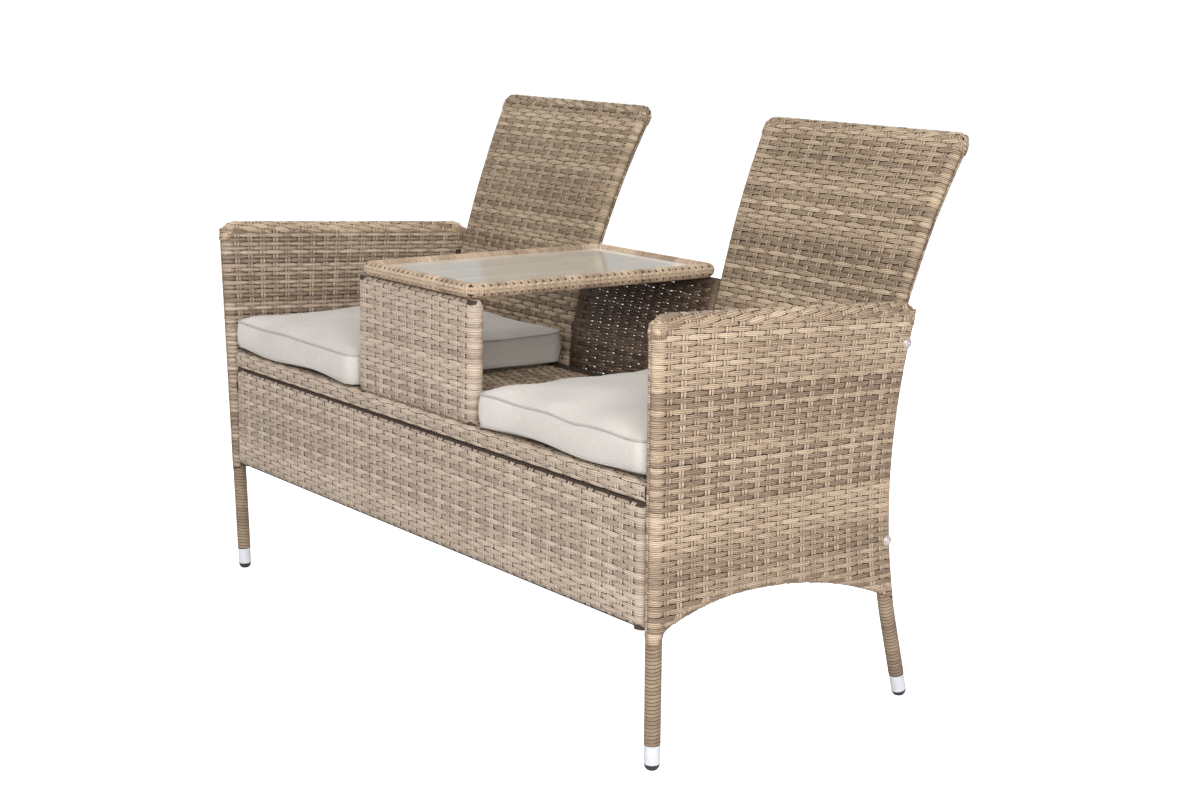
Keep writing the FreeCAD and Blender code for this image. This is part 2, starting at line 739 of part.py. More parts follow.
def seat_rails(shrink):
    """The four wrapped rails of the seat, each side made smaller by an amount."""
    half_height = rail_height / 2 - shrink
    half_depth = rail_depth / 2 - shrink
    rails = []
    for middle_y, length in ((front_rail_y, rail_half_length), (rear_rail_y, rear_rail_half_length)):
        half_length = length - shrink
        rail = block((-half_length, half_length), (middle_y - half_depth, middle_y + half_depth),
                     (rail_z - half_height, rail_z + half_height))
        long_edges = [edge for edge in rail.Edges if edge.Length > half_length]
        rails.append(rail.makeFillet(rail_edge_radius - shrink / 2, long_edges))
    inner = [length - rail_depth + shrink for length in (rail_half_length, rear_rail_half_length)]
    outer = [length - shrink for length in (rail_half_length, rear_rail_half_length)]
    right = prism([(inner[0], front_rail_y), (outer[0], front_rail_y),
                   (outer[1], rear_rail_y), (inner[1], rear_rail_y)],
                  (rail_z - half_height, deck_height - shrink))
    return rails + [right, mirrored(right)]


def make_seat_frame():
    """Rectangular rails with four cross bars under the deck."""
    steel = fit_gap + wrap_thickness
    solid_rails = seat_rails(steel)
    hollow = [rail.cut(core) for rail, core in zip(solid_rails, seat_rails(steel + tube_wall))]
    long_rails = fuse(solid_rails[:2])
    parts = hollow[:2] + [end.cut(long_rails) for end in hollow[2:]]
    bar_top = deck_height - deck_thickness - fit_gap
    for x in cross_bar_xs:
        bar = block((x - cross_bar_width / 2, x + cross_bar_width / 2), (front_rail_y, rear_rail_y),
                    (bar_top - cross_bar_height, bar_top))
        parts.append(bar.cut(long_rails))
    return fuse(parts)


def make_seat_weave():
    """Woven deck, wound round the four rails."""
    front_half = rail_half_length - rail_depth / 2
    rear_half = rear_rail_half_length - rail_depth / 2
    deck = prism([(-front_half, front_rail_y), (front_half, front_rail_y),
                  (rear_half, rear_rail_y), (-rear_half, rear_rail_y)],
                 (deck_height - deck_thickness, deck_height))
    outer = fuse(seat_rails(0.0) + [deck])
    skin = outer.cut(fuse(seat_rails(wrap_thickness)))
    slots = [block((x - cross_bar_width / 2 - fit_gap, x + cross_bar_width / 2 + fit_gap),
                   (front_rail_y, rear_rail_y),
                   (deck_height - deck_thickness - 2 * fit_gap - cross_bar_height,
                    deck_height - deck_thickness)) for x in cross_bar_xs]
    return skin.cut(fuse_apart(slots))


# Table top

ring_half_x = table_half_width - ring_radius
ring_front_y = table_front_y + ring_radius
ring_rear_y = table_rear_y - ring_radius
glass_top = table_top - glass_drop
glass_bottom = glass_top - glass_thickness
glass_bar_top = glass_bottom - bumper_height


def ring_path():
    """Closed middle line of the table's rim."""
    corners = [Vector(-ring_half_x, ring_front_y, ring_z), Vector(ring_half_x, ring_front_y, ring_z),
               Vector(ring_half_x, ring_rear_y, ring_z), Vector(-ring_half_x, ring_rear_y, ring_z)]
    return rounded_path(corners, [ring_corner_radius] * 4, closed=True)


def glass_bars(grow):
    """Two flat bars across the rim that carry the glass, grown all round by an amount."""
    half = glass_bar_width / 2 + grow
    return [block((-ring_half_x, ring_half_x), (y - half, y + half),
                  (glass_bar_top - glass_bar_thickness - grow, glass_bar_top + grow)) for y in glass_bar_ys]


def make_table_top_frame():
    """Steel rim with the two bars under the glass."""
    path = ring_path()
    rim = tube_along(path, ring_tube_radius)
    parts = [tube_along(path, ring_tube_radius, ring_tube_radius - tube_wall)]
    parts += [bar.cut(rim) for bar in glass_bars(0.0)]
    return fuse(parts)


def make_table_top_weave():
    """Winding round the rim."""
    path = ring_path()
    winding = tube_along(path, ring_radius, ring_tube_radius + fit_gap)
    return winding.cut(fuse_apart(glass_bars(fit_gap)))


def make_glass():
    """Tempered glass that drops into the rim."""
    inside = ring_radius + glass_gap
    return rounded_slab((-ring_half_x + inside, ring_half_x - inside),
                        (ring_front_y + inside, ring_rear_y - inside),
                        (glass_bottom, glass_top), glass_corner_radius)


def make_bumpers():
    """Clear bumpers between the bars and the glass."""
    discs = []
    for y in glass_bar_ys:
        for side in (-1, 1):
            low = Vector(side * bumper_x, y, glass_bar_top)
            discs.append(rod(low, low + Z_AXIS * bumper_height, bumper_radius))
    return Part.makeCompound(discs)


# Cushions

def cushion_outline(inset, height, draw_in):
    """Outline of a cushion at one level: sides drawn in between rounded corners."""
    front, rear = cushion_front_y + inset, cushion_rear_y - inset
    radius = max(cushion_corner_radius - inset * 0.2, 8.0)
    corners = [Vector(cushion_inner_xs[0] + inset, front, height),
               Vector(cushion_outer_xs[0] - inset, front, height),
               Vector(cushion_outer_xs[1] - inset, rear, height),
               Vector(cushion_inner_xs[1] + inset, rear, height)]
    edges = []
    for place in range(4):
        corner = corners[place]
        following = corners[(place + 1) % 4]
        before = (corner - corners[place - 1]).normalize()
        after = (following - corner).normalize()
        start = corner - before * radius
        end = corner + after * radius
        middle = corner + (after - before) * (radius * (1 - sqrt(0.5)))
        edges.append(Part.Arc(start, middle, end).toShape())
        far_end = following - after * radius
        inward = Vector(-after.y, after.x, 0)
        belly = (end + far_end) * 0.5 + inward * draw_in
        edges.append(Part.Arc(end, belly, far_end).toShape())
    return Part.Wire(edges)


def make_cushion():
    """Boxed cushion: a crowned top and underside, and swelling sides between the seams."""
    bottom = deck_height + cushion_rest
    low_seam = bottom + cushion_sag
    high_seam = low_seam + cushion_edge
    top = high_seam + cushion_crown
    width = cushion_outer_xs[1] - cushion_inner_xs[0]
    reach = width * 0.36
    side_levels = ((low_seam, 0.0), ((low_seam + high_seam) / 2, -cushion_bulge), (high_seam, 0.0))
    box = Part.makeLoft([cushion_outline(inset + cushion_bulge, z, cushion_draw_in)
                         for z, inset in side_levels], True, False)
    domes = []
    for seam, rise in ((high_seam, top - high_seam), (low_seam, bottom - low_seam)):
        levels = []
        for share in (0.0, 0.3, 0.65, 1.0):
            lift = rise * (1 - (1 - share) ** 2)
            levels.append(cushion_outline(cushion_bulge + reach * share, seam + lift,
                                          cushion_draw_in * (1 - share) + 0.5))
        domes.append(Part.makeLoft(levels, True, False))
    return fuse([box] + domes)


# Fasteners of the right half, with the holes that they need

bolts = []
washers = []
lugs = []
bolt_holes = []
lug_holes = []
side_face = wrap_radius + panel_clearance / 2
for height in side_bolt_heights:
    edge_x = back_edge_x(height, back_outer_xs)
    edge_y = back_middle_y(height)
    bolt_y = rear_tube_y(height)
    seat_x = side_x(height, bolt_y) + side_face
    head_seat = Vector(seat_x + washer_thickness, bolt_y, height)
    washers.append(ring_round(Vector(seat_x, bolt_y, height), head_seat,
                              washer_radius, bolt_radius + bolt_clearance))
    lug_start = edge_x + back_wrap_radius + fit_gap
    lug_end = side_x(height, bolt_y) - wrap_radius - panel_clearance
    lug = block((lug_start, lug_end),
                (min(bolt_y, edge_y) - lug_reach, max(bolt_y, edge_y) + lug_reach),
                (height - lug_reach, height + lug_reach))
    thread_end = lug_start + lug_floor
    hole = rod(Vector(thread_end, bolt_y, height), Vector(seat_x, bolt_y, height), bolt_radius + bolt_clearance)
    bolt_holes.append(hole)
    stem = rod(Vector(edge_x, edge_y, height), Vector(lug_start + lug_floor / 2, edge_y, height), stud_radius)
    lugs.append(fuse([lug, stem]).cut(hole))
    lug_holes.append(rod(Vector(edge_x, edge_y, height), Vector(lug_end, edge_y, height),
                         stud_radius + bolt_clearance))
    shank = rod(Vector(thread_end + fit_gap, bolt_y, height), head_seat, bolt_radius)
    bolts.append(fuse([bolt_head(head_seat, X_AXIS), shank]))
side_bolt_holes = fuse_apart(bolt_holes)

seat_bolts = []
seat_washers = []
seat_nuts = []
seat_holes = []
for x in seat_bolt_xs:
    behind = back_y + back_wrap_radius + seat_play
    nut_y = rear_rail_y - nut_length / 2
    seat_washers.append(ring_round(Vector(x, behind, rail_z), Vector(x, behind + washer_thickness, rail_z),
                                   washer_radius, bolt_radius + bolt_clearance))
    head_seat = Vector(x, behind + washer_thickness, rail_z)
    shank = rod(Vector(x, nut_y, rail_z), head_seat, bolt_radius)
    seat_bolts.append(fuse([bolt_head(head_seat, Y_AXIS), shank]))
    seat_nuts.append(ring_round(Vector(x, nut_y, rail_z), Vector(x, nut_y + nut_length, rail_z),
                                nut_radius, bolt_radius + bolt_clearance))
    seat_holes.append(rod(Vector(x, rear_rail_y, rail_z), Vector(x, behind + hole_overrun, rail_z),
                          bolt_radius + bolt_clearance))
seat_bolt_holes = fuse_apart(seat_holes)

middle_bolts = []
middle_nuts = []
middle_holes = []
nut_room = sqrt((back_tube_radius - tube_wall - nut_play) ** 2 - nut_radius ** 2)
for height in middle_bolt_heights:
    head_seat = Vector(middle_low_x - back_wrap_radius - seat_play, back_y, height)
    shank_end = Vector(back_inner_xs[0] - spacer_play, back_y, height)
    nut_start = Vector(back_inner_xs[0] - nut_room, back_y, height)
    shank = rod(head_seat, shank_end, bolt_radius)
    middle_bolts.append(fuse([bolt_head(head_seat, X_AXIS * -1), shank]))
    middle_nuts.append(ring_round(nut_start, shank_end, nut_radius, bolt_radius + bolt_clearance))
    middle_holes.append(rod(head_seat, Vector(back_inner_xs[0], back_y, height), bolt_radius + bolt_clearance))
middle_bolt_holes = fuse_apart(middle_holes)

stud_y = (front_rail_y + front_tube_y(rail_z)) / 2
stud_end_x = side_x(rail_z, stud_y)
collar_start = rail_half_length + plate_play
collar_end = stud_end_x - wrap_radius - panel_clearance
stud_start = Vector(rail_half_length - stud_depth, stud_y, rail_z)
stud_end = Vector(stud_end_x, stud_y, rail_z)
front_stud = fuse([rod(stud_start, stud_end, stud_radius),
                   rod(Vector(collar_start, stud_y, rail_z), Vector(collar_end, stud_y, rail_z), collar_radius)])
stud_hole = rod(stud_start - X_AXIS * stud_hole_overrun, stud_end, stud_radius + bolt_clearance)

hooks = []
hook_holes = []
for height in hook_heights:
    hook_y = (front_tube_y(height) + apron_y) / 2
    plate_start = apron_half_length + plate_play
    plate_end = side_x(height, hook_y) - wrap_radius - panel_clearance
    plate = block((plate_start, plate_end), (hook_y - hook_width / 2, hook_y + hook_width / 2),
                  (height - hook_height / 2, height + hook_height / 2))
    stud_start = Vector(apron_half_x, hook_y, height)
    stud_end = Vector(side_x(height, hook_y), hook_y, height)
    hooks.append(fuse([plate, rod(stud_start, stud_end, stud_radius)]))
    hook_holes.append(rod(stud_start - X_AXIS, stud_end + X_AXIS, stud_radius + bolt_clearance))
apron_hook_holes = fuse_apart(hook_holes)


def make_table_screws(y, rail_radius):
    """Two screws up through a panel's top rail into the table's rim, with black spacers between."""
    screws = []
    pads = []
    voids = []
    for side in (-1, 1):
        x = side * table_screw_x
        seat = Vector(x, y, panel_top - 2 * rail_radius - seat_play)
        shank = rod(seat, Vector(x, y, ring_z), screw_radius)
        head = rod(seat - Z_AXIS * screw_head_height, seat, screw_head_radius)
        screws.append(fuse([head, shank]))
        pads.append(ring_round(Vector(x, y, panel_top + spacer_play),
                               Vector(x, y, panel_top + table_spacer - spacer_play),
                               table_spacer_radius, screw_radius + bolt_clearance))
        voids.append(rod(seat, Vector(x, y, ring_z + screw_hole_overrun), screw_radius + bolt_clearance))
    return screws, pads, voids


front_screws, front_pads, front_voids = make_table_screws(table_panel_y, cross_wrap_radius)
rear_screws, rear_pads, rear_voids = make_table_screws((middle_high_y + ring_rear_y) / 2, back_rail_wrap_radius)
table_screw_holes = fuse_apart(front_voids + rear_voids)


# All nodes, right-hand pieces first where there is a pair

nodes = {}


def add_pair(name, right):
    """A right-hand piece and its mirror image."""
    nodes["right_" + name] = right
    nodes["left_" + name] = mirrored(right)


side_holes = fuse_apart([side_bolt_holes, stud_hole, apron_hook_holes])
add_pair("side_frame", leaned(make_side_frame()).cut(side_holes))
add_pair("side_weave", leaned(make_side_weave()).cut(side_holes))
for place, path, foot, way in (("front", front_leg_path, front_foot, front_leg_way),
                               ("rear", rear_leg_path, rear_foot, rear_leg_way)):
    add_pair(place + "_leg_wrap", leaned(make_leg_wrap(path, foot, way)))
    add_pair(place + "_foot_sleeve", leaned(make_sleeve(foot, way)))
    glide = leaned(make_glide(foot, way))
    floor_reach = 4 * glide_radius
    floor_block = block((foot_x - floor_reach, foot_x + floor_reach),
                        (foot.y - floor_reach, foot.y + floor_reach), (-floor_reach, 0))
    add_pair(place + "_glide", glide.cut(floor_block))

back_holes = fuse_apart([seat_bolt_holes, middle_bolt_holes])
add_pair("back_frame", fuse([make_back_frame().cut(back_holes)] + lugs))
add_pair("back_weave", make_back_weave().cut(fuse_apart([back_holes] + lug_holes)))

both_middle_holes = fuse_apart([middle_bolt_holes, mirrored(middle_bolt_holes)])
nodes["middle_back_frame"] = make_middle_frame().cut(both_middle_holes).cut(table_screw_holes)
nodes["middle_back_weave"] = make_middle_weave().cut(both_middle_holes).cut(table_screw_holes)

seat_cuts = fuse_apart([seat_bolt_holes, mirrored(seat_bolt_holes), stud_hole, mirrored(stud_hole)])
nodes["seat_frame"] = make_seat_frame().cut(seat_cuts)
nodes["seat_weave"] = make_seat_weave().cut(seat_cuts)

apron_cuts = fuse_apart([apron_hook_holes, mirrored(apron_hook_holes)])
nodes["apron_frame"] = make_flat_frame(apron_half_x, apron_y, apron_range, apron_bar_xs).cut(apron_cuts)
nodes["apron_weave"] = make_flat_weave(apron_half_x, apron_y, apron_range, apron_bar_xs).cut(apron_cuts)

table_front = make_flat_frame(table_panel_half_x, table_panel_y, table_panel_range, table_panel_bar_xs)
nodes["table_front_frame"] = table_front.cut(table_screw_holes)
table_front = make_flat_weave(table_panel_half_x, table_panel_y, table_panel_range, table_panel_bar_xs)
nodes["table_front_weave"] = table_front.cut(table_screw_holes)

nodes["table_top_frame"] = make_table_top_frame().cut(table_screw_holes)
nodes["table_top_weave"] = make_table_top_weave().cut(table_screw_holes)
nodes["table_glass"] = make_glass()
nodes["glass_bumpers"] = make_bumpers()

add_pair("cushion", make_cushion())


def both_sides(shapes):
    """A group of equal pieces on both sides of the bench."""
    return Part.makeCompound(shapes + [mirrored(shape) for shape in shapes])


nodes["side_bolts"] = both_sides(bolts)
nodes["side_bolt_washers"] = both_sides(washers)
nodes["seat_bolts"] = both_sides(seat_bolts)
nodes["seat_bolt_washers"] = both_sides(seat_washers)
nodes["seat_bolt_nuts"] = both_sides(seat_nuts)
nodes["middle_panel_bolts"] = both_sides(middle_bolts)
nodes["middle_panel_nuts"] = both_sides(middle_nuts)
nodes["seat_front_studs"] = both_sides([front_stud])
nodes["apron_hooks"] = both_sides(hooks)
nodes["table_screws"] = Part.makeCompound(front_screws + rear_screws)
nodes["table_spacers"] = Part.makeCompound(front_pads + rear_pads)

# The origin goes to the middle of the ground that the bench covers

whole = Part.makeCompound(list(nodes.values())).optimalBoundingBox(False)
to_middle = Vector(0, -(whole.YMin + whole.YMax) / 2, 0)
for name, shape in nodes.items():
    moved = shape.copy()
    moved.translate(to_middle)
    moved.exportStep("parts/" + name + ".step")

print("moved by", round(to_middle.y, 3))
print("size", [round(v, 2) for v in (whole.XLength, whole.YLength, whole.ZLength)],
      "floor", round(whole.ZMin, 4), "top", round(whole.ZMax, 2))
for name, shape in nodes.items():
    print(name, "solids", len(shape.Solids), "valid", shape.isValid(), "volume", round(shape.Volume / 1000, 1))
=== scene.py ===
import json

import bpy
import numpy as np
from mathutils import Matrix, Vector
from mathutils.bvhtree import BVHTree


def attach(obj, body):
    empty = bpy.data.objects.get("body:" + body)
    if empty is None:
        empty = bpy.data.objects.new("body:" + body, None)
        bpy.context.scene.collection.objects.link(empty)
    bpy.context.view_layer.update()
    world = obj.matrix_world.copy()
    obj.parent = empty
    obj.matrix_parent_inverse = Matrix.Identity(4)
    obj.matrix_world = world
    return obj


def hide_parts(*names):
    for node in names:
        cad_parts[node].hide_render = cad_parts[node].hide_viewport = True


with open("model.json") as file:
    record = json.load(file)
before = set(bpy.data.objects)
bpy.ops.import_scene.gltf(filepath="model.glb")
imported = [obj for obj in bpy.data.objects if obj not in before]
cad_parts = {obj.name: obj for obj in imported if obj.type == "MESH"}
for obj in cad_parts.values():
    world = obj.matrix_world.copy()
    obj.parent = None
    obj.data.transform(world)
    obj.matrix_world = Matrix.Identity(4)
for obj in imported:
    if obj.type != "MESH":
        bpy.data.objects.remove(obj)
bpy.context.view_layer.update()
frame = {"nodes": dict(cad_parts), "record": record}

bench = frame["nodes"]
weaver = np.random.default_rng(7)

# Side panels
# Each one is woven of flat ribbed plastic strands over a bent steel tube that makes front leg, arm and
# rear leg. The weft runs level, over and under pairs of narrow upright warp strands, and turns round the
# upright tubes. Strands are plaited over the arm and wound round the arched lower rail.

front_feet_y = -284.269
foot_half_spread = 609.7
arm_front = (-19.3, 637.4)
arm_rear = (476.3, 613.4)
knee = np.array([413.1, 339.2])
knee_radius = 846.0
rear_foot_y = 514.5
flare = np.arctan(13.3 / 649.5)
toe_in = np.arctan(19.8 / 514.5)
arch_peak = (166.0, 245.1)
arch_radii = (425.0, 750.0)
arm_corner_radius = 13.0
arm_ends = (618.0, 594.0)
arm_cover_radius = 11.9
corner_points = 14
corner_rise = 0.5
corner_pitch = 8.0
arch_ends = (-6.5, 457.0)
arch_cover_radius = 10.8
arch_pitch = 9.0
arch_overhang = 17.0
arch_blend = 14.0
braid_pitch = 22.0
braid_row = 7.2
braid_slope = 0.15
braid_level = 0.9
braid_reach = 2.1

panel_width = 480.0
panel_columns = 19
row_pitch = 7.9
side_level = 12.1
side_reach = 19.0
side_drop = 0.8
side_breadth = 0.96
lowest_row = 180.0
highest_row = 638.5
weft_thickness = 1.15
weft_swing = 0.9
edge_height = 0.15
edge_step = 5.0
edge_rise = 20.0
hole_width = 0.24
warp_width = 4.8
warp_thickness = 1.1
ribbon_powers = (0.55, 0.8)
warp_swing = 1.1
warp_pair_gap = 5.7
warp_ends = (0.1, 0.9)
column_play = 1.3
row_play = 0.2
wave_play = 0.18
height_play = 0.07
width_play = 0.12
warp_play = 0.1
dive_distances = (4.2, 7.4, 11.5)
dive_heights = (-1.1, -0.4, 0.7, 1.0)
dive_widths = (4.9, 6.2, 7.9, 8.4)
crest_distance = 17.0


class Wire:
    """An output of a node that can stand in a sum: each operator adds one Math node."""

    def __init__(self, finish, socket):
        self.finish = finish
        self.socket = socket

    def maths(self, operation, *values):
        inputs = dict(enumerate(values))
        return self.finish.node("ShaderNodeMath", {"operation": operation}, inputs)

    def __add__(self, other):
        return self.maths("ADD", self, other)

    def __sub__(self, other):
        return self.maths("SUBTRACT", self, other)

    def __rsub__(self, other):
        return self.maths("SUBTRACT", other, self)

    def __mul__(self, other):
        return self.maths("MULTIPLY", self, other)

    def __abs__(self):
        return self.maths("ABSOLUTE", self)

    def sine(self):
        return self.maths("SINE", self)

    def clamped(self):
        return self.maths("MINIMUM", self.maths("MAXIMUM", self, 0.0), 1.0)

    __radd__ = __add__
    __rmul__ = __mul__


class Finish:
    """A material: one Principled shader and the nodes that vary its sockets."""

    def __init__(self, name):
        self.material = bpy.data.materials.new(name)
        self.material.use_nodes = True
        self.tree = self.material.node_tree
        self.shader = self.tree.nodes["Principled BSDF"]

    def node(self, kind, settings=None, inputs=None, output=0):
        """Adds a node, sets its settings, fills or links its sockets, and returns one output."""
        made = self.tree.nodes.new(kind)
        for key, value in (settings or {}).items():
            if key == "stops":
                self.set_stops(made.color_ramp, value)
            else:
                setattr(made, key, value)
        for key, value in (inputs or {}).items():
            self.fill(made.inputs[key], value)
        return Wire(self, made.outputs[output])

    def set_stops(self, ramp, stops):
        """Gives a colour ramp its stops, as pairs of place and colour."""
        while len(ramp.elements) < len(stops):
            ramp.elements.new(0.5)
        for element, (place, colour) in zip(ramp.elements, stops):
            element.position = place
            element.color = (*colour, 1.0)

    def fill(self, socket, value):
        """Links a wire to a socket, or sets a plain value."""
        if isinstance(value, Wire):
            self.tree.links.new(value.socket, socket)
        elif isinstance(value, tuple) and len(value) == 3 and socket.type == "RGBA":
            socket.default_value = (*value, 1.0)
        else:
            socket.default_value = value

    def surface(self, **sockets):
        """Fills sockets of the shader, named with underscores for spaces."""
        for name, value in sockets.items():
            self.fill(self.shader.inputs[name.replace("_", " ")], value)
        return self

    def ramp(self, amount, *stops):
        """A colour that runs through the stops as the amount grows."""
        return self.node("ShaderNodeValToRGB", {"stops": stops}, {"Fac": amount})

    def place(self, stretch=(1.0, 1.0, 1.0)):
        """Object coordinates, stretched along each axis."""
        spot = self.node("ShaderNodeTexCoord", output="Object")
        return self.node("ShaderNodeMapping", {}, {"Vector": spot, "Scale": stretch})

    def noise(self, scale, detail=2.0, stretch=(1.0, 1.0, 1.0)):
        """Soft noise in space, from 0 to 1."""
        return self.node("ShaderNodeTexNoise", {},
                         {"Vector": self.place(stretch), "Scale": scale, "Detail": detail})

    def bump(self, height, distance, strength=1.0):
        """Raises the surface by a height map."""
        relief = self.node("ShaderNodeBump", {},
                           {"Height": height, "Distance": distance, "Strength": strength})
        return self.surface(Normal=relief)


def strand_finish(name, dark, mid, light):
    """Ribbed plastic strand: its own shade, slow patches, fine streaks and three ridges across. The grooves
    between the ridges and both edges of each strand are darkened, as painted shade.
    """
    finish = Finish(name)
    shade = finish.node("ShaderNodeAttribute", {"attribute_name": "shade"}, {}, "Fac")
    ribbon = finish.node("ShaderNodeUVMap", {"uv_map": "strand"})
    along = finish.node("ShaderNodeSeparateXYZ", {}, {0: ribbon}, "X")
    across = finish.node("ShaderNodeSeparateXYZ", {}, {0: ribbon}, "Y")
    stretched = finish.node("ShaderNodeCombineXYZ", {},
                            {"X": along * 60.0, "Y": across * 9.0, "Z": shade * 40.0})
    streaks = finish.node("ShaderNodeTexNoise", {}, {"Vector": stretched, "Scale": 1.0, "Detail": 3.0})
    patches = finish.noise(7.0, 2.0, (1.0, 1.0, 2.0))
    # The colour darkens in the rib grooves and at each strand's edges, as painted shade between strands and
    # between turns.
    rib_relief_and_shade = (abs((across * (3 * np.pi)).sine()) * 1.3).clamped()
    amount = shade * 0.75 + (patches - 0.5) * 0.45 + (streaks - 0.5) * 1.1 + rib_relief_and_shade * 0.5 - 0.34
    colour = finish.ramp(amount.clamped(), (0.0, dark), (0.5, mid), (1.0, light))
    finish.surface(Base_Color=colour, Roughness=0.62 - 0.14 * rib_relief_and_shade, Specular_IOR_Level=0.4)
    return finish.bump(rib_relief_and_shade + streaks * 0.5, 0.0007, 1.0).material


def to_metres(points):
    """Millimetres measured from the front feet, to metres in the frame."""
    return (np.asarray(points) + np.array([0.0, front_feet_y, 0.0])) / 1000.0


def new_object(name, data):
    """A new object in the scene that holds the data."""
    made = bpy.data.objects.new(name, data)
    bpy.context.scene.collection.objects.link(made)
    return made


def add_piece(name, groups, material, body="bench", replaced=()):
    """One mesh from several groups of faces.

    A group is its points, a list of (corner numbers, strand coordinates of the corners), and a
    shade for each point.
    """
    points, shades, corners, coordinates, counts = [], [], [], [], []
    first = 0
    for group_points, group_faces, group_shades in groups:
        points.append(to_metres(group_points))
        shades.append(group_shades)
        for numbers, places in group_faces:
            corners.append((numbers + first).ravel())
            coordinates.append(places.reshape(-1, 2))
            counts.append(np.full(len(numbers), numbers.shape[1]))
        first += len(group_points)
    points = np.concatenate(points)
    corners = np.concatenate(corners)
    counts = np.concatenate(counts)
    mesh = bpy.data.meshes.new(name)
    mesh.vertices.add(len(points))
    mesh.vertices.foreach_set("co", points.astype(np.float32).ravel())
    mesh.loops.add(len(corners))
    mesh.loops.foreach_set("vertex_index", corners.astype(np.int32))
    mesh.polygons.add(len(counts))
    starts = np.concatenate([[0], np.cumsum(counts)[:-1]])
    mesh.polygons.foreach_set("loop_start", starts.astype(np.int32))
    mesh.polygons.foreach_set("use_smooth", counts == 4)
    mesh.update(calc_edges=True)
    ribbon = mesh.uv_layers.new(name="strand")
    ribbon.data.foreach_set("uv", np.concatenate(coordinates).astype(np.float32).ravel())
    shade = mesh.attributes.new("shade", "FLOAT", "POINT")
    shade.data.foreach_set("value", np.concatenate(shades).astype(np.float32))
    mesh.materials.append(material)
    piece = new_object(name, mesh)
    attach(piece, body)
    if replaced:
        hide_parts(*replaced)


def mirrors(place, along, up):
    """Whether a panel's form turns its coordinates (along, up, out) into their mirror image.

    It does where steps along, up and out of a point give a negative triple product.
    """
    step_along, step_up, step_out = np.eye(4)[1:]
    corner, far, high, near = place(along + step_along, up + step_up, step_out)
    return np.cross(far - corner, high - corner) @ (near - corner) < 0


def squares(here, beyond):
    """Corner numbers of the faces between rings and the rings that follow them."""
    corners = [here, np.roll(here, -1, axis=1), np.roll(beyond, -1, axis=1), beyond]
    return np.stack(corners, axis=-1).reshape(-1, 4)


def ribbons(along, across, out, width, thickness, keep, shade, place, sides=8, upright=False):
    """Flat strands as closed tubes.

    Each point is the middle line plus half the width times a cosine across the strand and half the
    thickness times a sine out of the panel, each flattened by a power, sent through the panel's form.
    Rings that are not kept are left out, and both ends of each stretch are closed.
    """
    count, rings = along.shape
    turn = np.arange(sides) * (2 * np.pi / sides)
    flat = np.sign(np.cos(turn).round(9)) * np.abs(np.cos(turn)) ** ribbon_powers[0]
    high = np.sign(np.sin(turn).round(9)) * np.abs(np.sin(turn)) ** ribbon_powers[1]
    side = across[..., None] + 0.5 * width[..., None] * flat
    rise = out[..., None] + 0.5 * thickness * high
    run = np.broadcast_to(along[..., None], side.shape)
    points = place(side, run, rise) if upright else place(run, side, rise)
    number = np.arange(count * rings * sides).reshape(count, rings, sides)
    both = keep[:, :-1] & keep[:, 1:]
    quads = squares(number[:, :-1][both], number[:, 1:][both])
    v = np.tile(0.5 + 0.5 * np.cos(turn), both.sum())
    v_next = np.tile(np.roll(0.5 + 0.5 * np.cos(turn), -1), both.sum())
    u = np.repeat(along[:, :-1][both] / 1000.0, sides)
    u_next = np.repeat(along[:, 1:][both] / 1000.0, sides)
    places = np.stack([np.stack([u, v], -1), np.stack([u, v_next], -1),
                       np.stack([u_next, v_next], -1), np.stack([u_next, v], -1)], axis=1)
    begins = keep.copy()
    begins[:, 1:] &= ~keep[:, :-1]
    ends = keep.copy()
    ends[:, :-1] &= ~keep[:, 1:]
    lone = begins & ends
    caps = np.concatenate([number[begins & ~lone][:, ::-1], number[ends & ~lone]])
    first = (across[0, 0], along[0, 0]) if upright else (along[0, 0], across[0, 0])
    if mirrors(place, *first) != upright:
        quads, places, caps = quads[:, ::-1], places[:, ::-1], caps[:, ::-1]
    used = np.unique(quads)
    fresh = np.zeros(number.size, np.int64)
    fresh[used] = np.arange(len(used))
    faces = [(fresh[quads], places), (fresh[caps], np.full(caps.shape + (2,), 0.5))]
    return points.reshape(-1, 3)[used], faces, np.repeat(shade, rings * sides)[used]


def shades_of(count, spread=0.8, band=0.2):
    """A shade from 0 to 1 for each strand: its own part, and a slow wave with a knot each fifth strand."""
    own = weaver.uniform(0, 1, count)
    knots = np.arange(0, count + 6, 5)
    slow = np.interp(np.arange(count), knots, weaver.uniform(0, 1, len(knots)))
    return np.clip(0.5 + spread * (own - 0.5) + band * (slow - 0.5), 0, 1)


